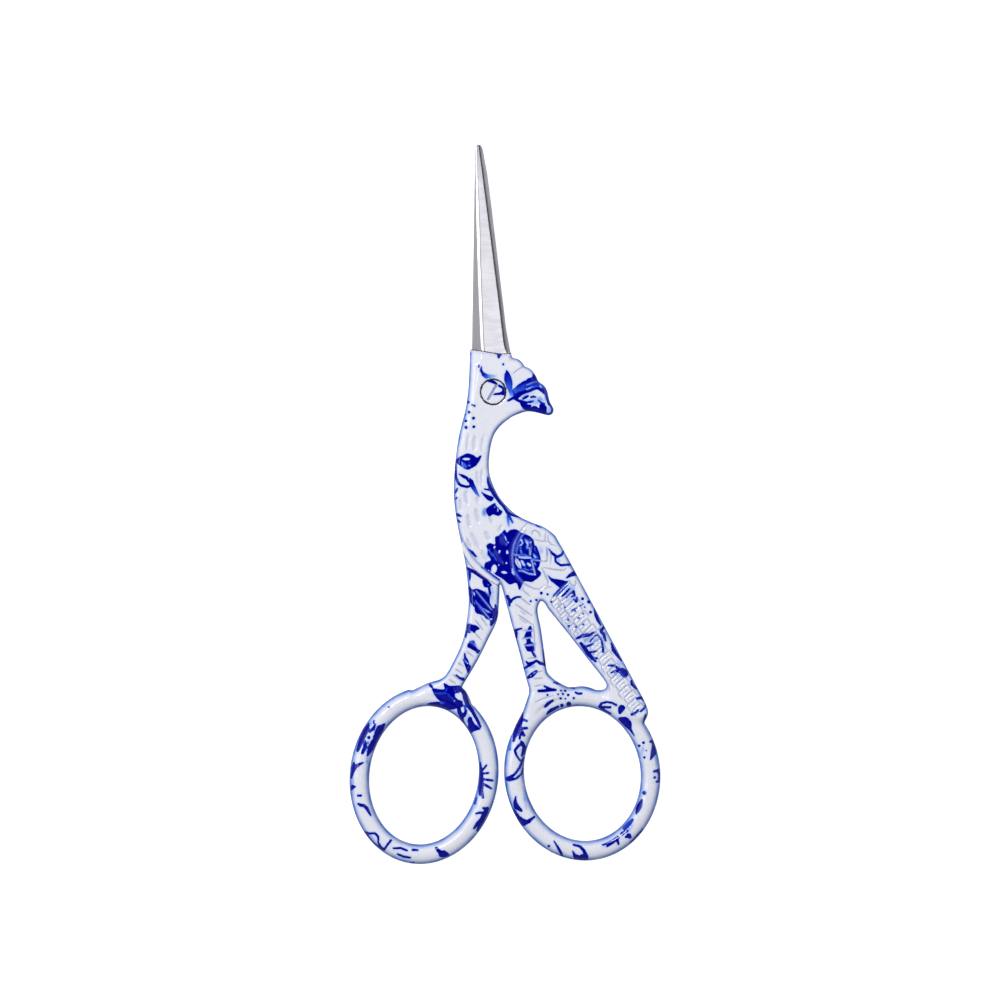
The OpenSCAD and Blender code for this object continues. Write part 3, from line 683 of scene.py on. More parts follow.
front_bow_strokes = [
    (1, [(7.3, -47.85, 0.32), (8.4, -47.8, 0.4), (9.3, -47.65, 0.4), (10, -47.7, 0.3)]),
    (1, [(8.2, -47.1, 0.25), (8.8, -47.4, 0.3), (9.4, -47.6, 0.25)]),
    (1, [(8.35, -50.35, 0.35), (8.8, -49.85, 0.45), (9.5, -49.4, 0.3)]),
    (1, [(8.6, -51.55, 0.25), (9.2, -51, 0.45), (10.35, -50.4, 0.35)]),
    (1, [(13.2, -48.1, 0.28), (13.7, -48.35, 0.25), (14.1, -48.25, 0.3)]),
    (0.85, [(9.6, -46.45, 0.15), (10.3, -46.65, 0.3), (10.7, -46.85, 0.15)]),
    (0.85, [(12.4, -47.35, 0.2), (13, -47.45, 0.25)]),
    (1, [(17, -50.4, 0.3), (17.3, -49.85, 0.28), (18.2, -49.62, 0.24), (19, -49.75, 0.26),
         (19.7, -50.1, 0.3)]),
    (1, [(17.1, -50.5, 0.3), (17.9, -50.45, 0.3), (18.75, -50.5, 0.3)]),
    (1, [(17.3, -50.7, 0.3), (18, -51.1, 0.3), (18.75, -51.5, 0.28)]),
    (1, [(22.2, -51.6, 0.35), (22.6, -51.45, 0.35)]),
    (1, [(22.9, -51.25, 0.3), (23.15, -51, 0.35)]),
    (1, [(25.15, -56, 0.25), (25.55, -55.8, 0.35), (25.85, -56.6, 0.6), (25.7, -57.7, 0.75),
         (25.2, -58.8, 0.2)]),
    (1, [(25.75, -60.75, 0.3), (26.5, -60.6, 0.45), (26.75, -61.5, 0.5), (26.6, -62.3, 0.4),
         (26.2, -62.4, 0.3)]),
    (1, [(23.8, -65.3, 0.25), (23.45, -66.2, 0.65), (23.2, -66.8, 0.6), (22.9, -67.5, 0.25)]),
    (0.75, [(22.3, -68.5, 0.35), (21.7, -69.2, 0.6), (21.1, -69.8, 0.65)]),
    (1, [(20.6, -70.75, 0.45), (21, -70.45, 0.3), (21.35, -70.2, 0.5)]),
    (1, [(21.25, -71.25, 0.3), (21.7, -71, 0.6), (21.9, -71.25, 0.45)]),
    (0.95, [(17.5, -72.5, 0.2), (18.3, -72.3, 0.35), (19.2, -71.9, 0.45), (20, -71.3, 0.4)]),
    (1, [(19.85, -71.5, 0.35), (20.05, -72.35, 0.28)]),
    (1, [(18.2, -72.75, 0.22), (18.6, -72.4, 0.4), (19.2, -72.05, 0.4)]),
    (1, [(23.95, -70.05, 0.25), (23.35, -70.85, 0.4), (22.7, -71.6, 0.4), (22, -72.25, 0.3)]),
    (1, [(12.9, -72.5, 0.28), (13.9, -72.75, 0.32), (14.5, -73.4, 0.38), (14.9, -74.3, 0.5),
         (15, -75.1, 0.4)]),
    (1, [(9.75, -71.9, 0.15), (10.3, -72.8, 0.3), (10.8, -73.7, 0.35), (11.15, -74.5, 0.3)]),
    (1, [(3.6, -64.75, 0.15), (3.5, -65.6, 0.45), (3.7, -66.4, 0.7), (4.5, -67, 0.35)]),
    (1, [(3.2, -66.9, 0.35), (3.9, -68.2, 0.7), (4.8, -68.95, 0.9), (5.6, -68.8, 0.5), (6.6, -68, 0.25)]),
    (1, [(2.35, -61.95, 0.6), (3.4, -61.25, 0.3), (4.2, -60.2, 0.3), (4.9, -58.6, 0.3)]),
    (0.95, [(2.6, -62.15, 0.35), (3.7, -61.85, 0.28), (4.5, -61.2, 0.26), (4.9, -60.2, 0.25)]),
    (1, [(4.3, -59, 0.25), (3.8, -58.3, 0.28), (3.45, -57.4, 0.3), (4, -56.7, 0.35), (4.6, -56.2, 0.4),
         (5, -56.8, 0.45), (4.9, -57.6, 0.5), (4.6, -58.2, 0.3)]),
    (1, [(4.5, -56, 0.35), (4.7, -56.3, 0.5), (4.9, -56.8, 0.4)]),
    (1, [(4.75, -51.4, 0.2), (4.35, -52.4, 0.7), (3.95, -53.6, 0.95), (3.55, -54.8, 0.6),
         (3.25, -55.9, 0.25)]),
    (0.95, [(4.9, -52.5, 0.35), (5.35, -52.65, 0.3)]),
    (0.95, [(4.5, -53.9, 0.4), (5.4, -53.8, 0.3)]),
    (0.95, [(4.6, -54.4, 0.4), (4.9, -54.95, 0.4)]),
    (0.95, [(4.3, -54.7, 0.4), (4.25, -55.5, 0.25)]),
    (0.5, [(2.8, -55.8, 0.2), (2.6, -57.2, 0.4)]),
    (0.95, [(25, -54.2, 0.15), (25.3, -54.9, 0.3)]),
]
front_bow_patches = [
    (1, [(20.1, -50.3), (20.7, -50.1), (21.15, -50.5), (20.9, -51), (20.3, -51.6), (20, -51.2)]),
    (1, [(20, -52.3), (20.8, -52), (21.6, -52.2), (22.15, -53), (22.2, -54), (22.7, -55.2), (21.8, -54.2),
         (20.9, -53.4)]),
    (1, [(12.65, -73.4), (13.2, -73.9), (13.8, -74.15), (14.4, -74), (14.95, -75.1), (14, -75.1),
         (13, -74.8)]),
]
front_bow_washes = [
    (26.2, -58.6, 0.3, 1.4, 0, 0.45), (21.6, -69.8, 0.6, 1.2, -35, 0.45), (19, -72.2, 1.8, 0.4, 25, 0.35),
    (4.7, -57.2, 0.5, 0.8, 0, 0.25), (3.6, -68.2, 0.8, 0.6, 0, 0.3), (24.3, -64.2, 0.3, 0.5, 0, 0.5),
    (20.6, -52.6, 0.5, 0.3, -30, 0.25), (4.2, -53, 0.7, 1.4, 15, 0.3), (9.7, -50.8, 0.7, 0.35, 25, 0.3),
    (5.1, -65.5, 0.2, 1.4, 10, 0.4), (23.9, -57.5, 0.3, 0.9, -10, 0.35),
]
front_bow_dots = [
    (8.7, -48.5, 0.17), (10.4, -48.4, 0.15), (10.85, -47.8, 0.16), (11.15, -48.35, 0.19),
    (11.55, -47.85, 0.2), (12, -48.5, 0.21), (10.8, -49.05, 0.2), (11.55, -49.1, 0.14), (12.9, -49, 0.21),
    (11, -50.2, 0.3), (12.1, -50, 0.4), (24.05, -56.15, 0.22), (23.35, -56.65, 0.23), (24.5, -57.4, 0.12),
    (24.2, -58.5, 0.19), (25.85, -61.7, 0.22), (24.15, -64.2, 0.3), (8.9, -72.7, 0.22), (9.3, -73.7, 0.2),
]

rear_leg_strokes = [
    (1, [(-4.2, -28.2, 0.4), (-3.2, -28.7, 0.5), (-2.2, -29.4, 0.5), (-1.2, -30.1, 0.5),
         (-0.4, -30.9, 0.4)]),
    (1, [(-3.85, -28.4, 0.4), (-3.75, -29.2, 0.45), (-3.75, -30.1, 0.2)]),
    (1, [(-1.5, -30.4, 0.5), (-1.2, -30.9, 0.75), (-1, -31.2, 0.3)]),
    (1, [(-3.85, -31.2, 0.3), (-3.6, -32.4, 0.6), (-3.4, -33.6, 0.6), (-3.1, -34.2, 0.3)]),
    (1, [(0.35, -34.1, 0.3), (0.5, -35.2, 0.6), (0.3, -36.2, 0.7), (-0.35, -37.3, 0.4)]),
    (0.95, [(-0.7, -31.1, 0.4), (-0.5, -32.3, 0.4), (-0.7, -33, 0.3)]),
    (1, [(-4.2, -38.3, 0.25), (-4.35, -38.9, 0.35), (-4.4, -39.3, 0.2)]),
    (0.6, [(-3.7, -40, 0.3), (-3.2, -40, 0.5), (-2.9, -40.5, 0.3)]),
    (1, [(-4.55, -41.85, 0.25), (-4.5, -42.5, 0.38), (-4.15, -43, 0.4), (-3.95, -43.35, 0.2)]),
    (0.6, [(-4.55, -42.8, 0.3), (-4.3, -43.3, 0.4), (-4, -43.6, 0.3)]),
    (1, [(-4.75, -42.85, 0.25), (-4.4, -43.5, 0.45), (-4, -44, 0.85), (-3.98, -44.5, 0.55),
         (-4.05, -44.95, 0.2)]),
    (1, [(-5.95, -45.3, 0.2), (-5.4, -45.75, 0.35), (-4.8, -46, 0.55)]),
]
rear_leg_patches = [
    (1, [(-3.85, -31), (-3.35, -31.6), (-2.6, -31.5), (-1.7, -31.8), (-1, -32.2), (-0.6, -32.8),
         (-0.5, -33.7), (-0.2, -34.4), (0.2, -34.6), (0.5, -34), (0.7, -35), (0.5, -35.9), (0.1, -36.7),
         (-0.25, -37.3), (-0.5, -37.1), (-0.55, -36.6), (-1.1, -36.3), (-1.6, -35.8), (-2.1, -35.6),
         (-2.7, -35.4), (-2.95, -34.9), (-3, -34.3), (-3.3, -34.1), (-3.75, -33.3), (-3.8, -32.2)]),
    (1, [(-4.12, -40.45), (-3.85, -40.15), (-3.3, -40.2), (-2.9, -40.65), (-2.5, -41.1), (-2.1, -41.4),
         (-2.45, -41.9), (-2.9, -41.5), (-3.6, -41.1), (-4.1, -40.85)]),
    (1, [(-4.1, -37.1), (-3.3, -37.25), (-2.7, -37.4), (-2.15, -37.9), (-2.7, -38.2), (-3, -38.6),
         (-3.4, -38.3), (-3.7, -38.6), (-4.2, -38.4)]),
]
rear_leg_bare = [
    (-3.05, -32.3, 0.12, 0.4, 10), (-3.03, -33.9, 0.1, 0.3, 10), (-0.85, -35.15, 0.42, 0.13, -30),
    (-0.4, -36.38, 0.3, 0.14, 0), (-3.62, -38.35, 0.08, 0.3, 0),
]
rear_leg_thin = [
    (0.52, [(-2.8, -31.85, 0.15), (-1.6, -33.2, 0.22), (-0.3, -34.85, 0.15)]),
    (0.52, [(-2.9, -33.3, 0.15), (-1.9, -34.5, 0.22), (-0.7, -36.15, 0.15)]),
    (0.65, [(-1.15, -31.9, 0.12), (-0.75, -32.45, 0.18)]),
    (0.6, [(-2.1, -34.2, 0.12), (-1.1, -35, 0.18)]),
]
rear_leg_washes = [
    (-0.1, -32.6, 0.35, 1.6, 0, 0.35), (-1.5, -34.2, 1.3, 1.6, 30, 0.2), (-3.9, -26.6, 1.1, 1.4, 20, 0.35),
    (0.4, -36, 0.5, 1.6, 15, 0.3), (-3.9, -37.8, 0.4, 0.8, 0, 0.3), (-19.8, -53.2, 0.5, 0.6, -30, 0.5),
    (-21.75, -56.7, 0.3, 0.4, 0, 0.5), (-20.2, -58.9, 0.3, 0.8, 0, 0.4), (-0.6, -31.4, 0.4, 0.4, 0, 0.35),
]

rear_bow_strokes = [
    (1, [(-5.1, -47.5, 0.55), (-4.6, -48.3, 0.6), (-4.42, -49.2, 0.62), (-4.1, -50.1, 0.58),
         (-3.45, -50.9, 0.48), (-2.9, -51.9, 0.42), (-2.4, -52.8, 0.42), (-2.1, -53.6, 0.36)]),
    (1, [(-5.5, -50.6, 0.5), (-5.4, -51.3, 0.55), (-5.05, -51.9, 0.6), (-4.95, -52.6, 0.45),
         (-4.6, -53.3, 0.35), (-4.1, -54.1, 0.35)]),
    (1, [(-4.55, -50.3, 0.3), (-4.35, -51.1, 0.4), (-4.65, -51.8, 0.5)]),
    (1, [(-10.1, -46.9, 0.4), (-9.75, -47.3, 0.3)]),
    (1, [(-19.95, -53.1, 0.3), (-20.3, -54, 0.8), (-20.95, -55.3, 0.8), (-21.4, -56.6, 0.6),
         (-21.7, -57.4, 0.4)]),
    (1, [(-17.4, -53.2, 0.3), (-18.1, -53.9, 1), (-18.6, -54.9, 0.95), (-19.1, -56, 0.8),
         (-19.6, -57, 0.85), (-20.1, -58.2, 0.3)]),
    (0.9, [(-18.85, -53.2, 0.2), (-19.2, -53.9, 0.5), (-19.75, -54.4, 0.3)]),
    (1, [(-19.05, -52.65, 0.2), (-19.15, -53, 0.25)]),
    (0.9, [(-20.55, -56, 0.4), (-20.5, -56.9, 0.6), (-20.95, -57.8, 0.4)]),
    (1, [(-20.85, -59.35, 0.22), (-21.4, -59.6, 0.35), (-22.1, -60, 0.6), (-22.5, -60.8, 0.5),
         (-22.75, -61.8, 0.3)]),
    (1, [(-22.3, -59.4, 0.3), (-22.45, -60.3, 0.6)]),
    (1, [(-22.15, -63.2, 0.3), (-22.5, -63.2, 0.55), (-22.7, -63.6, 0.4)]),
    (1, [(-21.65, -64.62, 0.3), (-21.2, -64.62, 0.35)]),
    (1, [(-21.6, -65.95, 0.3), (-21.2, -66.15, 0.45), (-20.7, -66.2, 0.4), (-20.2, -66.7, 0.5),
         (-19.6, -67.8, 0.2)]),
    (1, [(-20.6, -70.5, 0.4), (-19.8, -70.7, 0.32), (-18.9, -70.65, 0.3), (-18.4, -71.2, 0.28),
         (-18.4, -72.1, 0.28), (-18, -72.9, 0.3), (-17.4, -73.2, 0.3), (-17, -72.6, 0.28),
         (-16.4, -71.8, 0.35)]),
    (1, [(-20.4, -70.7, 0.4), (-19.9, -71.4, 0.35), (-19.2, -72.2, 0.3), (-18.3, -72.9, 0.3),
         (-17.5, -73.3, 0.35)]),
    (1, [(-15.95, -73.05, 0.25), (-14.8, -73, 0.3), (-13.8, -73.4, 0.28)]),
    (1, [(-12.9, -73.3, 0.3), (-12.1, -73.35, 0.28)]),
    (1, [(-15.3, -74, 0.28), (-14.3, -74.4, 0.35), (-13.3, -74.55, 0.28)]),
    (0.85, [(-13.4, -75.4, 0.25), (-12.7, -75.35, 0.25)]),
    (1, [(-9.1, -73, 0.35), (-8.7, -73.6, 0.45)]),
    ((1, 0.95), [(-2.1, -59.3, 0.25), (-1.95, -60.5, 0.4), (-1.9, -62, 0.6), (-2, -63.4, 0.75),
                 (-2.1, -64.4, 0.4)]),
    (1, [(-1.8, -60.6, 0.3), (-1.4, -60.2, 0.28), (-1.1, -59.75, 0.25)]),
    (1, [(-1.7, -61.1, 0.3), (-0.8, -61, 0.28)]),
    (1, [(-1.6, -62, 0.35), (-0.1, -62.2, 0.3)]),
    (1, [(-1.5, -62.8, 0.35), (-0.9, -63.1, 0.35), (-0.3, -63.5, 0.28)]),
    (1, [(-1.8, -63.8, 0.4), (-1.65, -64.9, 0.35)]),
    (0.9, [(-2.7, -65, 0.25), (-2.95, -65.9, 0.35)]),
    (1, [(-1.6, -66.6, 0.3), (-1, -66.8, 0.5)]),
    (1, [(-2.75, -67.5, 0.25), (-2.2, -67.35, 0.35), (-1.4, -67.4, 0.4)]),
    (1, [(-0.95, -66.7, 0.5), (-1.4, -67.6, 0.7), (-1.9, -68.7, 0.7), (-2.5, -70.2, 0.4)]),
    (1, [(-1.8, -68.2, 0.4), (-2.5, -69, 0.45), (-3.1, -69.9, 0.25)]),
]
rear_bow_patches = [
    (1, [(-7.95, -46.55), (-7.4, -46.8), (-6.9, -47.02), (-5.3, -47), (-5.05, -47.7), (-5.5, -48.15),
         (-6.1, -48.3), (-6, -48.85), (-5.6, -49.25), (-5, -49.55), (-4.75, -50.3), (-5.6, -50.6),
         (-6.6, -50.85), (-7.6, -50.95), (-8.6, -50.6), (-9.8, -50.3), (-10.65, -50), (-10, -49.72),
         (-9.2, -49.58), (-8.6, -49.5), (-9.1, -48.95), (-9.55, -48.2), (-9.8, -47.5), (-9.2, -47.48),
         (-7.85, -47.6), (-7.85, -47.1)]),
    (1, [(-3.9, -52.05), (-3.5, -52.05), (-3.3, -52.6), (-2.95, -53.1), (-2.4, -53.6), (-2, -53.95),
         (-2.5, -54.15), (-3.2, -54.4), (-3.7, -54.9), (-4.05, -54.1), (-4, -53.3), (-4.15, -52.6)]),
    (1, [(-8.8, -73.2), (-8.2, -73.4), (-7.7, -73.4), (-6.9, -74.2), (-7.6, -74.5), (-8.6, -74.4)]),
]
rear_bow_bare = [
    (-5.55, -48.8, 0.3, 0.5, 35), (-4.82, -51.1, 0.14, 0.36, -8), (-6.2, -49.45, 0.1, 0.14, 0),
    (-19.35, -54.75, 0.36, 0.28, 30), (-19.45, -55.5, 0.16, 0.42, -25),
]
rear_bow_thin = [
    (0.62, [(-9.3, -48.2, 0.2), (-8.4, -48.15, 0.3), (-7.7, -48.15, 0.32), (-7, -48.6, 0.26),
            (-6.5, -49.1, 0.22)]),
    (0.64, [(-7.4, -47.5, 0.28), (-7.7, -48.1, 0.2)]),
    (0.6, [(-6.2, -47.4, 0.2), (-6, -48, 0.24)]),
    (0.5, [(-8.9, -49.35, 0.18), (-8.3, -49.75, 0.3), (-7.8, -49.85, 0.2)]),
    (0.5, [(-4.95, -49.4, 0.2), (-4.7, -50.1, 0.22), (-4.2, -50.9, 0.22)]),
    (0.55, [(-2.9, -53, 0.18), (-2.4, -53.5, 0.22), (-2.1, -53.8, 0.18)]),
]
rear_bow_washes = [
    (-7, -48.6, 2, 0.5, -30, 0.2), (-4.1, -52.2, 0.6, 1.1, 20, 0.35), (-20.2, -56.6, 0.5, 1.1, -20, 0.4),
    (-20, -53, 0.7, 0.8, -30, 0.35), (-2.9, -65.3, 0.4, 1.3, 10, 0.4), (-22.5, -62.8, 0.3, 1.6, 0, 0.4),
    (-1.8, -62.5, 0.6, 1.6, 0, 0.3), (-1.7, -68.4, 0.5, 1.6, -25, 0.35), (-19.6, -71.4, 0.5, 0.6, 40, 0.3),
    (-3.9, -48.6, 0.3, 0.8, 0, 0.3),
]
rear_bow_dots = [(-16.7, -50.5, 0.18), (-19.9, -55.3, 0.27), (-20.05, -56.15, 0.12)]


# Past this distance from the ink's edge a point counts as wholly inked or wholly bare
far_ink = 0.8
# Where a thin stroke fades out, as a distance inside its edge, and where a wash does, as a share of
# its radius
thin_fade = (-0.09, 0.06)
wash_fade = (0.55, 1.35)
# How much fuller the brush is on each bow than its strokes say
front_bow_brush = 1.3
rear_bow_brush = 1.2


def oval_distance(points, x, y, half_w, half_h, turn):
    """Distance from an oval's middle as a share of its radius, and the oval's smaller half size."""
    c, s = math.cos(math.radians(turn)), math.sin(math.radians(turn))
    across, up = points[:, 0] - x, points[:, 1] - y
    share = np.hypot((across * c + up * s) / half_w, (up * c - across * s) / half_h)
    return share, min(half_w, half_h)


def in_stroke(points, a, b):
    """How far each point lies inside a stretch of a brush stroke, and how far along the stretch."""
    away, t = to_segment(points, a[:2], b[:2])
    return (a[2] + (b[2] - a[2]) * t) / 2 - away, t


class Print:
    """The ink on a half: its strokes, patches, bare spots, washes and dots, and its thin strokes,
    which only make the ink they cross lighter."""

    def __init__(self, strokes, patches, bare, washes, dots, thin):
        self.thin = [(tone, np.array(line, float)) for tone, line in thin]
        self.strokes = [(tone, np.array(line, float)) for tone, line in strokes]
        self.patches = [(tone, curve(line, closed=True)) for tone, line in patches]
        self.bare = bare
        self.washes = washes
        self.dots = dots

    def feature_points(self):
        """Places where the mesh needs points of its own to carry the marks."""
        rings = [(x + r * math.cos(turn), y + r * math.sin(turn))
                 for x, y, r in self.dots for turn in np.arange(0, 2 * math.pi, math.pi / 5)]
        lines = [evenly(line[:, :2], face_step) for _, line in self.strokes]
        return np.vstack([np.array([d[:2] for d in self.dots]), np.array(rings), *lines])

    def ink(self, points):
        """For each point: how far it lies inside the ink, the ink's tone there, and the wash."""
        deep = np.full(len(points), -far_ink)
        tone = np.ones(len(points))
        for shade, line in self.strokes:
            near = near_to(points, line[:, :2], far_ink)
            first, last = shade if isinstance(shade, tuple) else (shade, shade)
            for number in range(len(line) - 1):
                here, t = in_stroke(points[near], line[number], line[number + 1])
                along = (number + t) / (len(line) - 1)
                better = here > deep[near]
                tone[near[better]] = (first + (last - first) * along)[better]
                deep[near[better]] = here[better]
        for shade, line in self.patches:
            near = near_to(points, line, far_ink)
            away = to_line(points[near], line, closed=True)
            here = np.where(inside(points[near], [line]), away, -away)
            better = here > deep[near]
            tone[near[better]] = shade
            deep[near[better]] = here[better]
        for x, y, r in self.dots:
            here = r - np.hypot(points[:, 0] - x, points[:, 1] - y)
            tone[here > deep] = 1
            deep = np.maximum(deep, here)
        for shade, line in self.thin:
            for a, b in zip(line[:-1], line[1:]):
                near = near_to(points, np.array([a[:2], b[:2]]), far_ink)
                cover = smooth(in_stroke(points[near], a, b)[0], *thin_fade)
                tone[near] = np.minimum(tone[near], mix(tone[near], shade, cover))
        for x, y, half_w, half_h, turn in self.bare:
            away, size = oval_distance(points, x, y, half_w, half_h, turn)
            deep = np.minimum(deep, (away - 1) * size)
        wash = np.zeros(len(points))
        for x, y, half_w, half_h, turn, strength in self.washes:
            away, _ = oval_distance(points, x, y, half_w, half_h, turn)
            wash = np.maximum(wash, strength * (1 - smooth(away, *wash_fade)))
        return np.clip(deep, -far_ink, far_ink), tone, wash


def bolder(strokes, by):
    """The same strokes with a fuller brush."""
    return [(tone, [(x, y, width * by) for x, y, width in points]) for tone, points in strokes]


front_print = Print(
    head_strokes + neck_strokes + body_strokes + leg_strokes + bolder(front_bow_strokes, front_bow_brush),
    head_patches + neck_patches + body_patches + leg_patches + front_bow_patches,
    neck_bare + body_bare + leg_bare,
    head_washes + neck_washes + body_washes + leg_washes + front_bow_washes,
    head_dots + neck_dots + leg_dots + front_bow_dots, flower_thin + neck_thin + head_thin)
rear_print = Print(
    rear_leg_strokes + bolder(rear_bow_strokes, rear_bow_brush) + neck_strokes,
    rear_leg_patches + rear_bow_patches + neck_patches,
    rear_leg_bare + rear_bow_bare + neck_bare,
    rear_leg_washes + rear_bow_washes + neck_washes,
    rear_bow_dots + neck_dots, rear_leg_thin + rear_bow_thin + neck_thin)


def let_in(loop, line):
    """Add to a loop the places where an open line crosses it, and cut the line off there."""
    a, b = line[:-1, None], line[1:, None]
    c, d = loop[None], np.roll(loop, -1, 0)[None]
    r, s, gap = b - a, d - c, c - a
    turn = r[..., 0] * s[..., 1] - r[..., 1] * s[..., 0]
    turn[turn == 0] = 1e-12
    t = (gap[..., 0] * s[..., 1] - gap[..., 1] * s[..., 0]) / turn
    u = (gap[..., 0] * r[..., 1] - gap[..., 1] * r[..., 0]) / turn
    met = [(i + t[i, j], i, j) for i, j in np.argwhere((t >= 0) & (t < 1) & (u >= 0) & (u < 1))]
    (start_at, i, before), (end_at, k, after) = min(met), max(met)
    start = line[i] + (start_at - i) * (line[i + 1] - line[i])
    end = line[k] + (end_at - k) * (line[k + 1] - line[k])
    cut = np.vstack([start, line[i + 1:k + 1], end])
    return np.insert(loop, [before + 1, after + 1], [start, end], axis=0), cut


def hexagons(low, high, step):
    """A grid of points in a hexagon pattern, and which of them also make the pattern twice as wide."""
    columns = np.arange(low[0], high[0], step)
    rows = np.arange(low[1], high[1], step * math.sqrt(3) / 2)
    x, y = np.meshgrid(columns, rows)
    x[1::2] += step / 2
    column, row = np.meshgrid(np.arange(len(columns)), np.arange(len(rows)))
    wide = (row % 2 == 0) & (column % 2 == (row // 2) % 2)
    return np.stack([x.ravel(), y.ravel()], 1), wide.ravel()


def spread(points, gap, fixed):
    """The points thinned out, so that they keep a gap from each other and from fixed points."""
    _, first = np.unique(np.round(points / gap), axis=0, return_index=True)
    points = points[np.sort(first)]
    return points[nearest(fixed, points)[1] > gap]


def rows_along(loop, distances):
    """Points that follow a closed loop on its left at the given distances."""
    along = np.roll(loop, -1, 0) - np.roll(loop, 1, 0)
    along /= np.hypot(*along.T)[:, None]
    left = np.stack([-along[:, 1], along[:, 0]], 1)
    return np.vstack([loop + distance * left for distance in distances])


def groove_points(strokes):
    """Points along the middle and the sides of engraved strokes."""
    found = []
    for width, line in strokes:
        line = evenly(np.array(line, float), 0.15)
        found += [beside(line, side * width / 2) for side in (-0.9, 0, 0.9)]
    return np.vstack(found)


# Marks that the materials read at each point: how far inside the ink it lies, the ink's tone, the
# wash, the distance to an edge, how deep in a groove it lies and the distance to the enamel's end
mark_names = ("ink", "tone", "wash", "edge", "carve", "coat")
# The two distances count up to here
far_mark = 2
# The marks of a plain face
plain_marks = (-far_ink, 1, 0, far_mark, 0, far_mark)
# The edge distances are taken this many times longer on a bow's rim and on the figure
edge_stretch = (0.85, 1.15)


class Solid:
    """A closed mesh put together from flat fills, rings of points and the walls between them."""

    def __init__(self):
        self.points = []
        self.marks = []
        self.faces = []
        self.strips = []
        self.count = 0

    def add(self, points, marks=None):
        """Take in points with their marks, and return their numbers."""
        self.points.append(np.asarray(points, float))
        self.marks.append(np.tile(plain_marks, (len(points), 1)) if marks is None else marks)
        self.count += len(points)
        return np.arange(self.count - len(points), self.count)

    def add_faces(self, faces, strip=0):
        """Take in faces, given by their points' numbers, as part of a strip."""
        faces = np.asarray(faces)
        self.faces += faces.tolist()
        self.strips += [strip] * len(faces)

    def fill(self, loops, more, surface, lines=(), up=True, strip=0):
        """Cover the area between loops, and return the numbers of each loop's points."""
        chains = list(loops) + list(lines)
        flat = np.vstack(chains + [more]) if len(more) else np.vstack(chains)
        edges = []
        starts = np.cumsum([0] + [len(chain) for chain in chains])
        for number, chain in enumerate(chains):
            ids = list(range(starts[number], starts[number + 1]))
            edges += list(zip(ids[:-1], ids[1:]))
            if number < len(loops):
                edges.append((ids[-1], ids[0]))
        found = delaunay_2d_cdt([Vector(p) for p in flat.tolist()], edges, [], 1, 1e-7)
        placed = np.array([tuple(v) for v in found[0]])
        triangles = np.array(found[2])
        became = np.zeros(len(flat), int)
        for number, origins in enumerate(found[3]):
            became[origins] = number
        on_loop = np.zeros(len(placed), bool)
        on_loop[became[:starts[len(loops)]]] = True
        doubtful = on_loop[triangles].all(1)
        keep = np.ones(len(triangles), bool)
        keep[doubtful] = inside(placed[triangles[doubtful]].mean(1), loops)
        triangles = triangles[keep]
        a, b, c = (placed[triangles[:, corner]] for corner in range(3))
        (ux, uy), (vx, vy) = (b - a).T, (c - a).T
        wrong = (ux * vy - uy * vx > 0) != up
        triangles[wrong] = triangles[wrong][:, ::-1]
        high, marks = surface(placed)
        numbers = self.add(np.column_stack([placed, high]), marks)
        self.add_faces(numbers[triangles], strip)
        return [numbers[became[starts[n]:starts[n + 1]]] for n in range(len(loops))]

    def wall(self, upper, lower, hole=False, strip=0):
        """Join two rings that run the same way round, as an outer wall or round a hole."""
        quads = np.stack([upper, lower, np.roll(lower, -1), np.roll(upper, -1)], 1)
        self.add_faces(quads[:, ::-1] if hole else quads, strip)

    def build(self, name, body, stands_for, materials, crisp):
        """Make the piece, put it on its body and hide the frame node that it stands for."""
        mesh = bpy.data.meshes.new(name)
        points = np.vstack(self.points)
        mesh.from_pydata((points * MM).tolist(), [], self.faces)
        for number, mark in enumerate(mark_names):
            layer = mesh.attributes.new(mark, "FLOAT", "POINT")
            layer.data.foreach_set("value", np.vstack(self.marks)[:, number].astype(np.float32))
        for material in materials:
            mesh.materials.append(material)
        if len(materials) > 1:
            mesh.polygons.foreach_set("material_index", self.strips)
        mesh.shade_smooth()
        mesh.set_sharp_from_angle(angle=math.radians(crisp))
        mesh.validate()
        piece = bpy.data.objects.new(name, mesh)
        bpy.context.scene.collection.objects.link(piece)
        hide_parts(stands_for)
        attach(piece, body)
        return piece


def rounding(away, reach, fall):
    """How far a face has fallen at a distance from its edge."""
    u = 1 - np.clip(away / reach, 0, 1)
    return fall * (1 - np.sqrt(1 - u * u))


# A sixth of the depth of the unevenness
unevenness = 0.007


def wobble(p):
    """The gentle unevenness of dipped enamel, which only takes away."""
    x, y = p.T
    waves = np.sin(0.9 * x + 0.35 * y + 1) + np.sin(0.45 * x - 0.8 * y + 2) + np.sin(1.7 * x + 1.3 * y)
    return unevenness * (3 - waves)


def warped(p):
    """Places for the print on the back, a little off those on the front."""
    x, y = p.T
    return np.stack([x + 0.7 * np.sin(0.21 * y + 0.5) + 0.3 * np.sin(0.5 * x),
                     y + 0.6 * np.sin(0.26 * x + 1) - 0.3 * np.sin(0.47 * y)], 1)


# The blade's outer face as it comes out of the enamel, for the enamel to follow: its height at the
# ridge, the enamel's thickness over it, and the slopes to the spine and to the cutting edge
blade_t = 1.55
coat_t = 0.12
spine_slope = math.tan(math.radians(34))
face_slope = math.tan(math.radians(7))
# The face never falls below this share of the blade's thickness
least_t = 0.5
# How far a half's full outer face and its lap face lie from the middle plane, on its own side
half_t = top_z / 2
lap_out = front_lap - rim_z

# Distances from the enamel's end between which it grows from the blade's height to its own
coat_rise = (0.1, 2.6)
# A face falls as it does at the enamel's end, or along the belly, where that line is the nearest
# edge, and in part where it is up to this much farther away than the nearest one
coat_blend = (0, 0.3)
belly_blend = (0, 0.25)
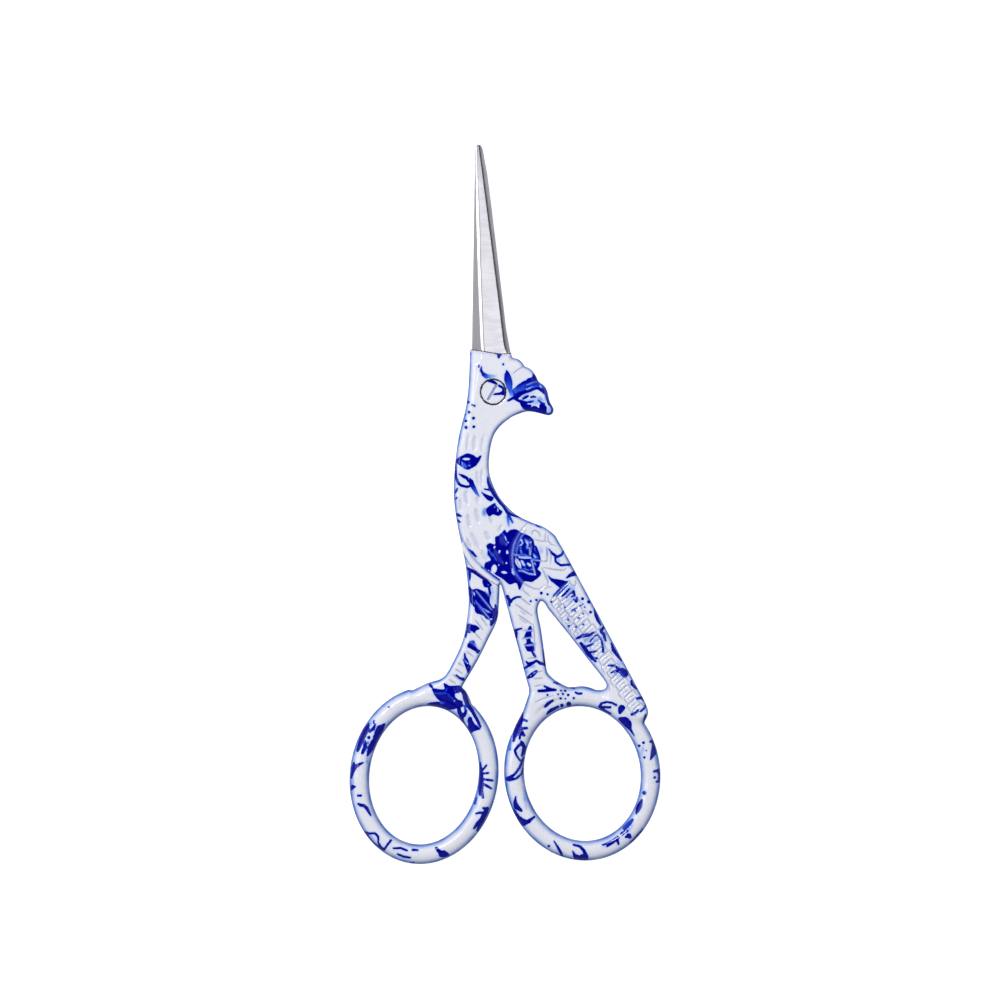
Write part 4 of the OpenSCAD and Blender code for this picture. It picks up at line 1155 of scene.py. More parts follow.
# The facet on the far side of the ridge: its width, and the length over which it fades out
facet_w = 1.6
facet_fade = 3
# The roll along the belly: its height, its distance from the belly and half its width
roll_t = 0.06
roll_at = 0.55
roll_half_w = 0.42
# The groove along the belly: half its width, its depth, and the blue wash in it, which is painted shade
groove_half_w = 0.26
groove_t = 0.15
groove_shade_wash = 0.4
# How far the seam along the belly counts as being from an edge, so that it stays pale
seam_mark = 0.8
# The rounding of a face at the screw's seat, and at the wall between a half's two layers
seat_reach = 0.2
seat_fall = 0.1
step_reach = 0.25
step_fall = 0.1
# The rims of the seat and of the screw's head count as this far from the enamel's end, so that its
# dark line falls there as painted shadow in the gap round the head
seat_gap_shade_mark = 0.06
head_gap_shade_mark = 0.07
# Distances of rows of points from a hole and from the wall between the layers, and across a ridge
# as shares of its fine line's width
hole_rows = (0.05, 0.12, 0.2, 0.3, 0.42)
wall_rows = (0.05, 0.12, 0.2, 0.3, 0.45)
ridge_rows = (-0.5, -0.3, -0.12, 0.12, 0.3, 0.5)
# The grid is fine where the ink's edge lies in this range, or this near to a groove
ink_range = (-0.3, 0.4)
groove_near = 0.3
# Gaps that points keep: rows, then points of the print and the engraving, then the grid, each from
# the points before it, and all of them from the edges
row_gap = 0.012
feature_gap = 0.07
grid_gap = 0.09
edge_gap = 0.008


class Half:
    """One half of the scissors: a flat solid with its own face on one side, and on the other side
    a deep part that reaches through the full thickness beside a lower face for the other half."""

    def __init__(self, side, bow, outline, hollows, holes, step, deep_area, ridge, coat, ink, strokes,
                 back_strokes):
        self.side = side
        self.bow = bow
        self.step = step
        self.deep_area = deep_area
        self.ridge = curve(ridge)
        self.coat = coat
        self.ink = ink
        self.strokes = strokes
        self.back_strokes = back_strokes
        self.lines = []
        for shift in (wall_w / 2, -wall_w / 2):
            outline, line = let_in(outline, beside(step, shift))
            self.lines.append(line)
        self.outline = outline
        self.hollows = hollows
        self.holes = holes

    def away(self, p):
        """Distance from the outline and from the hollows."""
        return np.minimum.reduce([to_line(p, loop, closed=True) for loop in [self.outline] + self.hollows])

    def on_figure(self, p, away):
        """0 on the bow's rim, 1 on the figure, and a smooth change between."""
        return smooth(away + self.bow.outside(p), *rim_blend)

    def shape(self, p, away):
        """Distance of a full outer face from the middle plane, before its details."""
        figure = self.on_figure(p, away)
        reach = mix(rim_w / 2, edge_reach, figure)
        fall = mix(rim_t / 2 - rim_side, edge_fall, figure)
        by_coat = 1 - smooth(to_line(p, self.coat) - away, *coat_blend)
        reach = mix(reach, coat_reach, by_coat)
        fall = mix(fall, coat_fall, by_coat)
        if self.side > 0:
            by_belly = 1 - smooth(to_line(p, belly_line) - away, *belly_blend)
            reach = mix(reach, belly_reach, by_belly)
            fall = mix(fall, belly_fall, by_belly)
        return mix(rim_t / 2, half_t, figure) - rounding(away, reach, fall) - wobble(p) * figure

    def marks(self, p, away, carve, faces_front):
        """The marks at points of an outer face. The print on the back lies a little differently."""
        ink, tone, wash = self.ink.ink(p if faces_front else warped(p))
        coat_away = np.minimum(to_line(p, self.coat), far_mark)
        edge = np.minimum(away * mix(*edge_stretch, self.on_figure(p, away)), far_mark)
        return np.column_stack([ink, tone, wash, edge, carve, coat_away])

    def fine_line(self, p, line):
        """Height of a fine raised line that fades in and out along its length."""
        ends = np.minimum(np.hypot(*(p - line[0]).T), np.hypot(*(p - line[-1]).T))
        return line_t * np.clip(1 - (2 * to_line(p, line) / line_w) ** 2, 0, 1) * smooth(ends, 0, line_fade)

    def own_face(self, p):
        """Height and marks on the half's own face."""
        away = self.away(p)
        out = self.shape(p, away)
        ridge_x = np.interp(p[:, 1], self.ridge[::-1, 1], self.ridge[::-1, 0])
        past = (ridge_x - p[:, 0]) * self.side
        ridge_end = self.ridge[-1, 1]
        facet = facet_slope * np.clip(past, 0, facet_w) * smooth(p[:, 1], ridge_end, ridge_end + facet_fade)
        blade_fall = np.where(past > 0, past * spine_slope, -past * face_slope)
        blade_out = lap_out + coat_t + blade_t - np.minimum(blade_fall, least_t * blade_t)
        grown = smooth(to_line(p, self.coat), *coat_rise)
        out -= facet + np.maximum(half_t - facet - blade_out, 0) * (1 - grown)
        carve, depth = carving(p, self.strokes)
        out += self.fine_line(p, self.ridge) - depth
        if self.side < 0:
            return rim_z - np.minimum(out, half_t), self.marks(p, away, carve, False)
        from_belly = to_line(p, belly_line)
        groove = np.clip(1 - (to_line(p, belly_groove) / groove_half_w) ** 2, 0, 1)
        roll = np.clip(1 - ((from_belly - roll_at) / roll_half_w) ** 2, 0, 1)
        out += roll_t * roll - groove_t * groove
        from_seat = np.hypot(*p.T) - head_r - seat_gap
        out -= seat_fall * np.clip(1 - from_seat / seat_reach, 0, 1) ** 2
        marks = self.marks(p, away, np.maximum(carve, groove), True)
        wash, edge, coat = (mark_names.index(name) for name in ("wash", "edge", "coat"))
        # Painted shade: a blue wash in the belly's groove
        marks[:, wash] = np.maximum(marks[:, wash], groove_shade_wash * groove)
        marks[:, edge] = np.where(from_belly < away + 0.1, np.maximum(away, seam_mark), marks[:, edge])
        # Painted shadow round the screw's head: the seat's rim takes the dark line of the enamel's end
        marks[:, coat] = np.minimum(marks[:, coat], from_seat + seat_gap_shade_mark)
        return rim_z + np.minimum(out, half_t), marks

    def other_face(self, p):
        """Height and marks on the other side: the deep part's face and the lower lap face."""
        away = self.away(p)
        deep = inside(p, [self.deep_area])
        from_step = np.maximum(to_line(p, self.step) - wall_w / 2, 0)
        carve, depth = carving(p, self.back_strokes)
        out = self.shape(p, away) - rounding(from_step, step_reach, step_fall) - depth
        if self.side < 0:
            out = np.minimum(out + self.fine_line(p, curve(leg_ridge)), half_t)
        out = np.where(deep, out, -rounding(away, lap_reach, lap_fall) - lap_out)
        marks = self.marks(p, away, carve, self.side < 0)
        marks[~deep] = plain_marks
        return rim_z - self.side * out, marks

    def mesh_points(self, own):
        """Points for the mesh of one side: rows along the edges, the marks' own, and a grid."""
        loops = [self.outline] + self.hollows
        edges = loops + self.holes
        rows = []
        for distance in edge_rows:
            row = rows_along(self.outline, [distance])
            row = np.vstack([row] + [rows_along(hollow[::-1], [distance]) for hollow in self.hollows])
            row = row[inside(row, loops)]
            # Only the points of a row that have no other edge nearer
            rows.append(row[self.away(row) > 0.97 * distance])
        for hole in self.holes:
            rows += [circle(np.hypot(*hole[0]) + gap) for gap in hole_rows]
        for gap in wall_rows:
            rows += [beside(self.lines[0], gap), beside(self.lines[1], -gap)]
        ridge = self.ridge if own else curve(leg_ridge)
        rows += [beside(ridge, shift * line_w) for shift in ridge_rows]
        grooves = groove_points(self.strokes if own else self.back_strokes)
        features = np.vstack([grooves, self.ink.feature_points()])
        low, high = self.outline.min(0), self.outline.max(0)
        grid, wide = hexagons(low, high, face_step)
        kept = inside(grid, edges)
        grid, wide = grid[kept], wide[kept]
        inked = self.ink.ink(grid)[0]
        by_ink = (inked > ink_range[0]) & (inked < ink_range[1])
        grid = grid[wide | by_ink | (nearest(grooves, grid)[1] < groove_near)]
        if not own:
            lap_grid, lap_wide = hexagons(low, high, lap_step)
            lap_grid = lap_grid[lap_wide]
            lap_grid = lap_grid[inside(lap_grid, edges) & ~inside(lap_grid, [self.deep_area])]
            grid = np.vstack([grid[inside(grid, [self.deep_area])], lap_grid])
            features = features[inside(features, [self.deep_area])]
        fixed = np.vstack(edges + self.lines)
        found = fixed
        for points, gap in ((np.vstack(rows), row_gap), (features, feature_gap), (grid, grid_gap)):
            points = points[inside(points, edges)]
            points = spread(points, gap, found)
            found = np.vstack([found, points[self.away(points) > edge_gap]])
        return found[len(fixed):]


def seat_floor(p):
    """The flat that the screw's head lies on, marked as an edge and as the enamel's end so that it takes
    painted shadow.
    """
    return np.full(len(p), seat_z), np.tile((-far_ink, 1, 0, 0, 0, 0), (len(p), 1))


def half_solid(half, name, body, stands_for):
    """A half as a closed solid."""
    solid = Solid()
    own_points, other_points = half.mesh_points(True), half.mesh_points(False)
    edges = [half.outline] + half.hollows
    up = half.side > 0
    if up:
        seat = circle(head_r + seat_gap)
        bore = circle(bore_r)
        own_points = own_points[np.hypot(*own_points.T) > head_r + seat_gap + 0.02]
        top = solid.fill(edges + [seat], own_points, half.own_face)
        bottom = solid.fill(edges + [bore], other_points, half.other_face, half.lines, up=False)
        floor = solid.fill([seat, bore], [], seat_floor)
        solid.wall(top[-1], floor[0], hole=True)
        solid.wall(floor[1], bottom[-1], hole=True)
    else:
        bore = circle(thread_r + thread_gap)
        bottom = solid.fill(edges + [bore], own_points, half.own_face, up=False)
        top = solid.fill(edges + [bore], other_points, half.other_face, half.lines)
        solid.wall(top[-1], bottom[-1], hole=True)
    for number, (upper, lower) in enumerate(zip(top[:len(edges)], bottom[:len(edges)])):
        solid.wall(upper, lower, hole=number > 0)
    return solid.build(name, body, stands_for, [printed_enamel], 50)


# Each half's deep area runs from the wall between its layers to well past its outline
front_half = Half(
    1, front_bow, front_outline, [front_hollow, leg_hollow], [circle(bore_r)], back_step,
    np.vstack([back_step, [(60, step_y), (60, -90), (1.2, -90)]]), neck_ridge, ragged, front_print,
    front_engraving, leg_hatch + fetlock + plates)
rear_half = Half(
    -1, rear_bow, rear_outline, [rear_hollow], [circle(thread_r + thread_gap)], belly_step,
    np.vstack([belly_step, [(3, -32), (3, -90), (-60, -90), (-60, -24)]]), rear_ridge,
    np.array([(2.9, 6.5), (-3.75, 6.5)]), rear_print, neck_dashes + rear_hatch, rear_hatch)


# The blades: the outline of each, as points from the enamel to the rounded point
front_spine = [(-3.4, 5.6), (-3.4, 7), (-3.33, 12), (-3.2, 20), (-3.05, 30), (-2.95, 36), (-2.86, 39),
               (-2.78, 39.3), (-2.66, 39.5), (-2.5, 39.62), (-2.3, 39.69)]
front_cut = [(2.6, 5.6), (2.3, 6.5), (2.05, 7), (1.85, 8), (1.6, 10), (1, 15), (0.35, 20), (-0.3, 25),
             (-0.95, 30), (-1.6, 35), (-2.08, 38.6), (-2.13, 39.2), (-2.17, 39.5), (-2.22, 39.62),
             (-2.29, 39.69)]
rear_spine = [(2.9, 5.6), (2.75, 6.5), (2.65, 7), (2.1, 10), (1.5, 15), (0.9, 20), (0.3, 25), (-0.3, 30),
              (-0.95, 35), (-1.62, 38.7), (-1.72, 39.1), (-1.85, 39.38), (-2, 39.55), (-2.12, 39.64),
              (-2.25, 39.69)]
rear_cut = [(-2.75, 5.6), (-2.75, 7), (-2.72, 20), (-2.72, 30), (-2.74, 38.6), (-2.7, 39.2), (-2.6, 39.5),
            (-2.48, 39.62), (-2.27, 39.69)]
blade_rows = [5.6, 6.5, 7, 8, 9, 10, 11.5, 13, 15, 17, 19, 21, 23, 25, 27, 29, 31, 33, 35, 36.5, 37.5, 38.2,
              38.7, 39.05, 39.3, 39.45, 39.56, 39.64, 39.69]
# Thickness of a blade at its point, and at least at its spine and at most along its cutting edge
point_t = 0.75
back_t = 0.45
cut_t = 0.12
# How far the flat inside of a blade lies behind the enamel's lap face
flat_in = 0.015
# Widths across a blade: the fine bright line and the bevel, and the facet along the spine as a
# share of the blade's width. Each pair runs from the enamel to the point.
glint_w = 0.38
bevel_w = (0.24, 0.17)
facet_share = (0.275, 0.12)
# The widest that the bright line and the bevel may be, as shares of the blade's width
glint_most = 0.16
bevel_most = 0.24


def blade(name, body, stands_for, side, spine, cut, lap_z):
    """A blade: flat inside, with a bevel along the cutting edge, a face, a fine bright line and a
    facet along the spine."""
    solid = Solid()
    rings = []
    for y in blade_rows:
        s, c = (np.interp(y, [p[1] for p in line], [p[0] for p in line]) for line in (spine, cut))
        wide = abs(c - s)
        t = min(max((y - coat_y) / (tip_y - coat_y), 0), 1)
        thick = mix(blade_t, point_t, t) * min(1, 0.45 + 0.9 * wide)
        facet = wide * mix(*facet_share, t)
        glint = min(glint_w, glint_most * wide)
        bevel = min(mix(*bevel_w, t), bevel_most * wide)
        ridge = thick - glint * 0.2
        back = max(min(back_t, ridge), ridge - facet * spine_slope)
        shoulder = max(thick - (wide - facet - glint - bevel) * face_slope, thick * least_t)
        section = [
            (0, flat_in), (wide, flat_in), (wide, min(cut_t, thick / 2)), (wide - bevel, shoulder),
            (facet + 1.45 * glint, thick - 0.03), (facet + glint, thick - 0.01), (facet, ridge), (0, back),
        ]
        to_cut = np.sign(c - s)
        rings.append(solid.add([(s + to_cut * x, y, lap_z + side * z) for x, z in section]))
    strips = (0, 1, 1, 2, 3, 2, 3, 3)
    for lower, upper in zip(rings[:-1], rings[1:]):
        for k, strip in enumerate(strips):
            following = (k + 1) % len(strips)
            quad = [lower[k], lower[following], upper[following], upper[k]]
            solid.add_faces([quad if side * to_cut > 0 else quad[::-1]], strip)
    for ring, first in ((rings[0], True), (rings[-1], False)):
        cap = list(ring) if first != (side * to_cut > 0) else list(ring[::-1])
        solid.add_faces([cap], 3)
    # Painted shade: each facet of the blade gets its own lit or shaded copy of the steel
    lit_and_shaded_steels = [shaded_lap_steel, shaded_bevel_steel, face_steel, shaded_spine_steel]
    return solid.build(name, body, stands_for, lit_and_shaded_steels, 4)


# The screw: its head, the smooth part in the front half and the thread in the rear half, with the
# radius at the thread's root and the rise of one turn
head_t = 0.9
shank_r = 1.3
thread_root = 0.93
pitch = 0.4
# The middle of its slot, and how the head falls at its rim and beside the slot
slot_at = (-0.12, -0.07)
head_reach = 0.2
head_fall = 0.14
slot_reach = 0.13
slot_fall = 0.05
# Distances of rows of points on the head from its rim and from the slot
head_rows = (0.03, 0.08, 0.15, 0.24, 0.34)
slot_rows = (0.05, 0.12)


def screw(name, body, stands_for):
    """The slotted screw, with a real thread."""
    solid = Solid()
    c, s = math.cos(slot_turn), math.sin(slot_turn)
    corners = np.array([(-1, -1), (1, -1), (1, 1), (-1, 1)]) * np.array([slot_l / 2, slot_w / 2])
    slot = evenly(corners, 0.11, closed=True) @ np.array([[c, s], [-s, c]]) + np.array(slot_at)
    rim = circle(head_r)
    grid = hexagons((-2, -2), (2, 2), 0.13)[0]
    rows = np.vstack([circle(head_r - gap) for gap in head_rows] + [rows_along(slot[::-1], slot_rows)])
    rows = rows[inside(rows, [rim, slot])]
    grid = spread(grid[inside(grid, [rim, slot])], 0.08, np.vstack([rows, slot, rim]))

    def face(p):
        away = head_r - np.hypot(*p.T)
        from_slot = to_line(p, slot, closed=True)
        by_slot = np.clip(1 - from_slot / slot_reach, 0, 1) ** 2
        high = top_z - rounding(away, head_reach, head_fall) - slot_fall * by_slot
        ink, tone, wash = front_print.ink(p)
        # Painted shadow at the head's rim: it takes the dark line of the enamel's end and some edge tint
        return high, np.column_stack([ink, tone, wash, away + 0.3, away * 0, away + head_gap_shade_mark])

    def floor(p):
        return np.full(len(p), top_z - slot_d), np.tile(slot_shade_marks, (len(p), 1))

    # Painted shade in the slot: its floor takes a light wash and the full groove tint
    slot_shade_marks = (-far_ink, 1, 0.25, far_mark, 1, far_mark)
    top = solid.fill([rim, slot], np.vstack([rows, grid]), face)
    solid.wall(top[1], solid.fill([slot], [], floor)[0], hole=True)
    unit = circle(1)

    def ring(radius, high, marks=None):
        flat = unit * np.asarray(radius).reshape(-1, 1)
        return solid.add(np.column_stack([flat, np.full(ring_count, high)]), marks)

    # The head's side and underside are marked as edges, for painted shade under the head's rim
    shaded_rim_marks = np.tile((-far_ink, 1, 0, 0, 0, far_mark), (ring_count, 1))
    # Rings from the head's rim to the screw's end: the head's side and underside, the shank and the
    # thread, which fades out at the end
    under = top_z - head_t
    rings = [
        (ring(head_r, under + 0.15, shaded_rim_marks), 0), (ring(head_r - 0.1, under, shaded_rim_marks), 0),
        (ring(shank_r, under), 1), (ring(shank_r, rear_lap + 0.12), 1),
        (ring(shank_r - 0.08, rear_lap + 0.03), 1),
    ]
    turns = np.arange(ring_count) / ring_count
    for high in np.linspace(rear_lap - 0.03, 0.06, 52):
        wave = np.abs(2 * ((high / pitch + turns) % 1) - 1)
        ends = smooth(high, 0.02, 0.3)
        rings.append((ring(thread_root + (thread_r - thread_root) * wave * ends, high), 1))
    rings.append((ring(thread_root - 0.08, 0.01), 1))
    last = top[0]
    for following, strip in rings:
        solid.wall(last, following, strip=strip)
        last = following
    solid.add_faces([list(last[::-1])], 1)
    return solid.build(name, body, stands_for, [printed_enamel, turned_steel], 40)


def new_node(tree, kind, inputs=None, **settings):
    """A node with its settings, and with its inputs linked or set."""
    node = tree.nodes.new(kind)
    for name, value in settings.items():
        setattr(node, name, value)
    for name, value in (inputs or {}).items():
        if isinstance(value, bpy.types.NodeSocket):
            tree.links.new(value, node.inputs[name])
        else:
            node.inputs[name].default_value = value
    return node


def maths(tree, operation, a, b=0.0, clamp=False):
    """The result of a sum on values or sockets."""
    return new_node(tree, "ShaderNodeMath", {0: a, 1: b}, operation=operation, use_clamp=clamp).outputs[0]


def rise(tree, value, low, high, start=0.0, end=1.0):
    """A smooth rise from start at low to end at high."""
    node = new_node(tree, "ShaderNodeMapRange", {0: value, 1: low, 2: high, 3: start, 4: end},
                    interpolation_type="SMOOTHSTEP")
    return node.outputs[0]


def blended(tree, share, a, b, how="MIX"):
    """Two colours mixed by a share."""
    node = new_node(tree, "ShaderNodeMix", data_type="RGBA", blend_type=how, clamp_factor=True)
    for socket, value in ((node.inputs[0], share), (node.inputs[6], a), (node.inputs[7], b)):
        if isinstance(value, bpy.types.NodeSocket):
            tree.links.new(value, socket)
        else:
            socket.default_value = value
    return node.outputs[2]


def set_ramp(node, stops):
    """Give a colour ramp its stops, as pairs of a place and a colour, from the first to the last."""
    elements = node.color_ramp.elements
    for element, (place, colour) in ((elements[0], stops[0]), (elements[1], stops[-1])):
        element.position = place
        element.color = colour
    for place, colour in stops[1:-1]:
        elements.new(place).color = colour


def product(tree, a, b, clamp=False):
    """a times b."""
    return maths(tree, "MULTIPLY", a, b, clamp)


def noise(tree, place, scale, detail):
    """Soft noise round 0.5."""
    node = new_node(tree, "ShaderNodeTexNoise", {"Vector": place, "Scale": scale, "Detail": detail})
    return node.outputs[0]


def linear(red, green, blue):
    """A colour given in the steps of a picture, 0 to 255, for a shader."""
    steps = [((c / 255 + 0.055) / 1.055) ** 2.4 if c > 10 else c / 255 / 12.92 for c in (red, green, blue)]
    return (*steps, 1)


# The print's colour by its strength, from bare enamel to the deepest cobalt
cobalt_stops = [
    (0, linear(230, 231, 239)), (0.12, linear(208, 218, 242)), (0.3, linear(140, 172, 236)),
    (0.5, linear(62, 104, 218)), (0.72, linear(20, 48, 190)), (0.9, linear(2, 10, 158)),
    (1, linear(0, 0, 140)),
]
# Blue glaze near the edges, in grooves and on the edges themselves, each partly painted shade that
# darkens rounded edges and grooves; the dark line at the enamel's end, partly painted shade of its
# step and painted shadow in the gap round the screw's head; and the enamel's grain
edge_glaze_and_shade = linear(104, 152, 230)
groove_glaze_and_shade = linear(132, 146, 190)
dark_edge_glaze_and_shade = linear(38, 86, 186)
dark_end_and_gap_shade = linear(26, 26, 40)
grain_blue = linear(70, 80, 130)
# The grain's darkest places in steel have this share of the steel's own colour
ground_shade = 0.55


def new_group(name, inputs, outputs):
    """A node group with named inputs and outputs: (name, kind) pairs."""
    group = bpy.data.node_groups.new(name, "ShaderNodeTree")
    for way, sockets in (("INPUT", inputs), ("OUTPUT", outputs)):
        for socket, kind in sockets:
            group.interface.new_socket(socket, in_out=way, socket_type="NodeSocket" + kind)
    return group, group.nodes.new("NodeGroupInput").outputs, group.nodes.new("NodeGroupOutput")


def printed_cobalt():
    """Cobalt ink under the glaze: deep in the marks, watery at their edges and in the washes."""
    group, given, out = new_group(
        "Printed cobalt",
        [("Place", "Vector"), ("Ink", "Float"), ("Tone", "Float"), ("Wash", "Float"), ("Carve", "Float")],
        [("Color", "Color"), ("Strength", "Float")])
    broad_off = maths(group, "SUBTRACT", noise(group, given["Place"], 1100.0, 3.0), 0.5)
    fine_off = maths(group, "SUBTRACT", noise(group, given["Place"], 5200.0, 2.0), 0.5)
    ragged_by = maths(group, "ADD", product(group, broad_off, 0.1), product(group, fine_off, 0.14))
    depth = maths(group, "ADD", given["Ink"], ragged_by)
    solid = rise(group, depth, -0.07, 0.06)
    halo = product(group, maths(group, "POWER", rise(group, depth, -0.6, 0.0), 3.0), 0.13)
    thinned = maths(group, "ADD", product(group, given["Carve"], -0.38), product(group, broad_off, 0.28))
    body = product(group, solid, maths(group, "ADD", given["Tone"], thinned))
    watery = product(group, given["Wash"], maths(group, "ADD", 0.6, product(group, broad_off, 0.9)))
    strength = maths(group, "MAXIMUM", maths(group, "MAXIMUM", body, watery), halo, clamp=True)
    ramp = new_node(group, "ShaderNodeValToRGB", {0: strength})
    set_ramp(ramp, cobalt_stops)
    group.links.new(ramp.outputs[0], out.inputs["Color"])
    group.links.new(strength, out.inputs["Strength"])
    return group


def edge_tint_and_shade():
    """Blue-grey glaze along edges and in grooves, partly painted shade that darkens them, and the dark line
    at the enamel's end, also painted shadow round the screw's head.
    """
    group, given, out = new_group(
        "Edge tint and painted shade",
        [("Color", "Color"), ("Edge", "Float"), ("Coat", "Float"), ("Carve", "Float"),
         ("Strength", "Float"), ("Place", "Vector")],
        [("Color", "Color")])
    corner = rise(group, given["Edge"], 0.0, 0.12, 0.25, 1.0)
    corner = product(group, corner, rise(group, given["Coat"], 0.15, 0.6, 0.1, 1.0))
    share = product(group, maths(group, "ADD", 0.1, noise(group, given["Place"], 420.0, 2.0)), corner)
    bare = maths(group, "SUBTRACT", 1.0, given["Strength"], clamp=True)
    # Painted shade: rounded edges darkened to blue-grey, softly over a wide band and deeply right at the
    # edge, over the glaze's own blue
    soft = product(group, rise(group, given["Edge"], 0.1, 0.78, 1.4, 0.0), share, clamp=True)
    dark = product(group, rise(group, given["Edge"], 0.1, 0.4, 1.15, 0.0), share, clamp=True)
    # Painted shade in grooves, together with the glaze that gathers there
    groove = product(group, given["Carve"], 0.72)
    colour = blended(group, product(group, soft, bare), given["Color"], edge_glaze_and_shade)
    colour = blended(group, product(group, groove, bare), colour, groove_glaze_and_shade)
    colour = blended(group, product(group, dark, bare), colour, dark_edge_glaze_and_shade)
    # The dark line at the enamel's end, broken by noise: partly painted shade of the step there, and
    # painted shadow in the gap round the screw's head
    chipped = maths(group, "SUBTRACT", noise(group, given["Place"], 3600.0, 1.0), 0.5)
    from_end = maths(group, "ADD", given["Coat"], product(group, chipped, 0.3))
    end = rise(group, from_end, 0.07, 0.2, 0.95, 0.0)
    colour = blended(group, end, colour, dark_end_and_gap_shade)
    group.links.new(colour, out.inputs["Color"])
    return group


def fine_grain():
    """Fine mottling: a value round 0.5, and the same as a height, drawn out where Stretch is small."""
    group, given, out = new_group(
        "Fine grain",
        [("Place", "Vector"), ("Stretch", "Vector"), ("Size", "Float")],
        [("Value", "Float"), ("Height", "Float")])
    stretched = new_node(group, "ShaderNodeVectorMath", {0: given["Place"], 1: given["Stretch"]},
                         operation="MULTIPLY").outputs[0]
    small = noise(group, stretched, given["Size"], 3.0)
    group.links.new(small, out.inputs["Value"])
    group.links.new(product(group, small, 0.00001), out.inputs["Height"])
    return group


cobalt_group, tint_and_shade_group, grain_group = printed_cobalt(), edge_tint_and_shade(), fine_grain()


def new_material(name):
    """A material, with its node tree, its shader and the place that its patterns go by."""
    material = bpy.data.materials.new(name)
    material.use_nodes = True
    tree = material.node_tree
    place = new_node(tree, "ShaderNodeTexCoord").outputs["Object"]
    return material, tree, tree.nodes["Principled BSDF"], place


def grained(tree, shader, place, stretch, size, rough_low, rough_high, bumps):
    """Fine grain in a material's roughness and surface. It gives the grain's value for its colour."""
    grain = new_node(
        tree, "ShaderNodeGroup", {"Place": place, "Stretch": stretch, "Size": size}, node_tree=grain_group)
    value, height = grain.outputs["Value"], grain.outputs["Height"]
    tree.links.new(rise(tree, value, 0.3, 0.7, rough_low, rough_high), shader.inputs["Roughness"])
    bump = new_node(tree, "ShaderNodeBump", {"Height": height, "Strength": bumps, "Distance": 1.0})
    tree.links.new(bump.outputs[0], shader.inputs["Normal"])
    return value


def enamel():
    """Glossy white enamel with the cobalt print."""
    material, tree, shader, place = new_material("Printed enamel")
    mark = {
        name.capitalize(): new_node(tree, "ShaderNodeAttribute", attribute_name=name).outputs["Fac"]
        for name in mark_names
    }
    mark["Place"] = place
    printed = new_node(
        tree, "ShaderNodeGroup", {name: mark[name] for name in ("Place", "Ink", "Tone", "Wash", "Carve")},
        node_tree=cobalt_group)
    tinted = new_node(
        tree, "ShaderNodeGroup", {name: mark[name] for name in ("Place", "Edge", "Coat", "Carve")},
        node_tree=tint_and_shade_group)
    for name in ("Color", "Strength"):
        tree.links.new(printed.outputs[name], tinted.inputs[name])
    value = grained(tree, shader, place, (1, 1, 1), 2400.0, 0.07, 0.11, 0.05)
    shade = rise(tree, value, 0.3, 0.7, 0.0, 0.05)
    colour = blended(tree, shade, tinted.outputs["Color"], grain_blue, "MULTIPLY")
    tree.links.new(colour, shader.inputs["Base Color"])
    shader.inputs["Specular IOR Level"].default_value = 0.28
    return material


def steel(name, colour, rough_low, rough_high, stretch, size):
    """Bright steel with the marks of grinding or turning."""
    material, tree, shader, place = new_material(name)
    value = grained(tree, shader, place, stretch, size, rough_low, rough_high, 0.1)
    darker = tuple(c * ground_shade for c in colour[:3]) + (1,)
    colour = blended(tree, rise(tree, value, 0.35, 0.65, 0.0, 0.12), colour, darker)
    tree.links.new(colour, shader.inputs["Base Color"])
    shader.inputs["Metallic"].default_value = 1.0
    return material


printed_enamel = enamel()
# One ground steel in lit and shaded copies: the spine facet, the bevel and the flat inside are darker than
# the face as painted shade for how the light falls on them
face_steel = steel("Ground face", linear(240, 237, 243), 0.28, 0.36, (0.15, 1, 1), 2600.0)
shaded_spine_steel = steel("Ground spine, painted shade", linear(178, 174, 177), 0.3, 0.38, (0.15, 1, 1), 2600.0)
shaded_bevel_steel = steel("Bevel, painted shade", linear(62, 60, 66), 0.22, 0.3, (0.3, 1, 1), 3000.0)
shaded_lap_steel = steel("Ground flat, painted shade", linear(178, 176, 184), 0.34, 0.42, (1, 0.15, 1), 2600.0)
turned_steel = steel("Turned steel", linear(190, 188, 184), 0.26, 0.36, (1, 1, 6), 2600.0)

half_solid(front_half, "front_figure", "front_half", "front_handle")
half_solid(rear_half, "rear_figure", "rear_half", "rear_handle")
blade("front_steel_blade", "front_half", "front_blade", 1, front_spine, front_cut, front_lap)
blade("rear_steel_blade", "rear_half", "rear_blade", -1, rear_spine, rear_cut, rear_lap)
screw("slotted_screw", "rear_half", "pivot_screw")


def floor_material():
    """Plain pale paper, made a little lighter where the camera sees it."""
    material, tree, shader, _ = new_material("Pale floor")
    shader.inputs["Base Color"].default_value = (0.55, 0.55, 0.57, 1)
    shader.inputs["Roughness"].default_value = 0.9
    shader.inputs["Specular IOR Level"].default_value = 0.0
    shader.inputs["Emission Color"].default_value = (1, 1, 1, 1)
    seen = new_node(tree, "ShaderNodeLightPath").outputs["Is Camera Ray"]
    tree.links.new(maths(tree, "MULTIPLY", seen, 0.95), shader.inputs["Emission Strength"])
    return material


bpy.ops.mesh.primitive_plane_add(size=3, location=(0, 0, -0.05 * MM))
floor = bpy.context.object
floor.name = "floor"
floor.data.materials.append(floor_material())


# The place that the lights look at, and their distance from it in metres
lit_place = (0, -18, 0)
light_away = 0.8


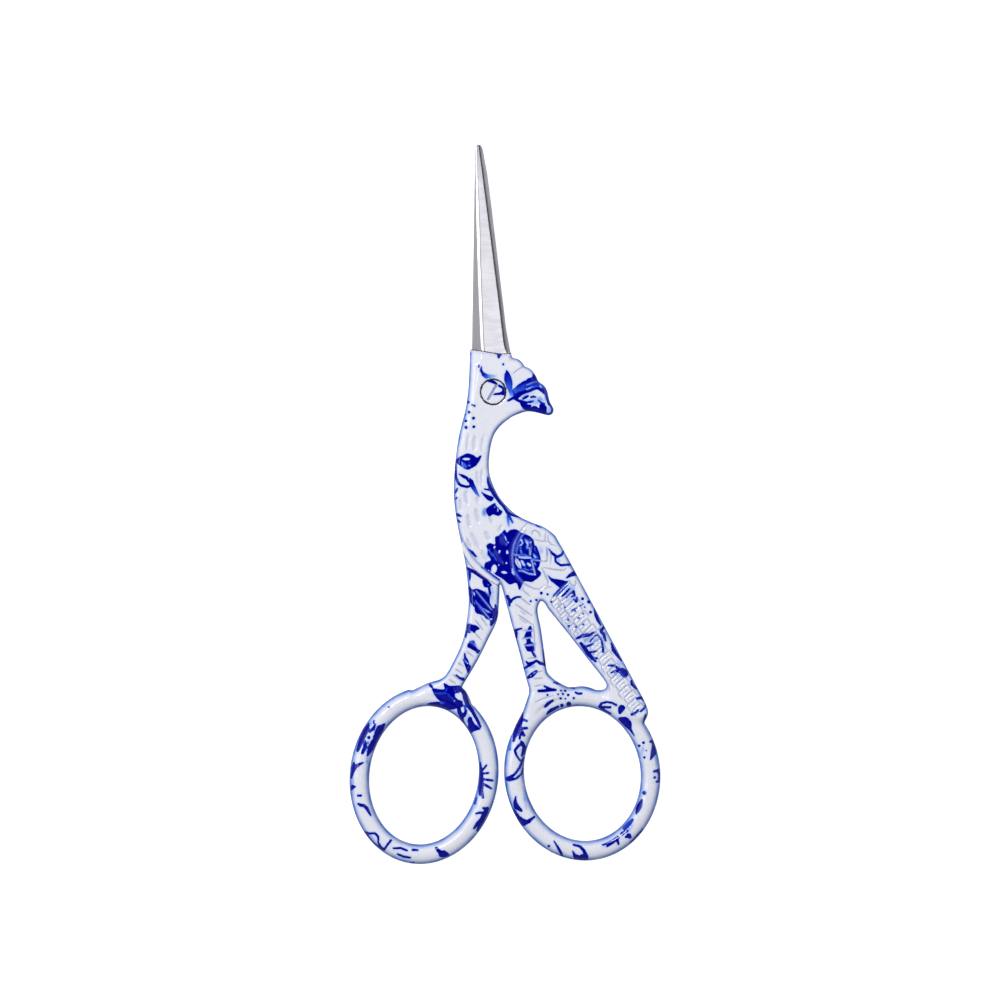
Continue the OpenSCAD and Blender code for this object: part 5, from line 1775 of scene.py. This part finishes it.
def soft_box(name, azimuth, from_top, width, height, power):
    """A soft light that looks at the scissors: azimuth from +X, and degrees down from straight above."""
    target = Vector(lit_place) * MM
    a, e = math.radians(azimuth), math.radians(from_top)
    way = Vector((math.sin(e) * math.cos(a), math.sin(e) * math.sin(a), math.cos(e)))
    data = bpy.data.lights.new(name, "AREA")
    data.shape = "RECTANGLE"
    data.size, data.size_y = width, height
    data.energy = power
    light = bpy.data.objects.new(name, data)
    light.location = target + way * light_away
    light.rotation_euler = (-way).to_track_quat("-Z", "Y").to_euler()
    light.visible_camera = False
    bpy.context.scene.collection.objects.link(light)


soft_box("key", 130, 32, 0.22, 0.12, 3.15)
soft_box("side", 176, 33, 0.16, 0.12, 0.4)
soft_box("left", 165, 46, 0.4, 0.5, 1.4)
soft_box("right", 0, 62, 0.5, 0.6, 0.8)
soft_box("face", 0, 17, 0.5, 0.15, 0.47)

world = bpy.data.worlds.new("Soft studio")
bpy.context.scene.world = world
world.use_nodes = True
sky = world.node_tree
direction = new_node(sky, "ShaderNodeTexCoord").outputs["Generated"]
height = new_node(sky, "ShaderNodeSeparateXYZ", {0: direction}).outputs[2]
dome = new_node(sky, "ShaderNodeValToRGB", {0: height})
set_ramp(dome, [(0, (0.25, 0.27, 0.31, 1)), (0.75, (0.36, 0.37, 0.41, 1)), (0.93, (0.12, 0.125, 0.15, 1)),
                (1, (0.03, 0.032, 0.04, 1))])
sky.links.new(dome.outputs[0], sky.nodes["Background"].inputs["Color"])
sky.nodes["Background"].inputs["Strength"].default_value = 1.0

bpy.context.scene.view_settings.view_transform = "Standard"
# The camera: the middle of its picture, its height, and the width it sees at the scissors' top
middle = (1.09, -17.3)
camera_high = 1200
seen_width = 160
camera_data = bpy.data.cameras.new("camera")
camera_data.sensor_width = 36
camera_data.lens = 36 * (camera_high - top_z) / seen_width
camera = bpy.data.objects.new("camera", camera_data)
camera.location = Vector((*middle, camera_high)) * MM
bpy.context.scene.collection.objects.link(camera)
bpy.context.scene.camera = camera
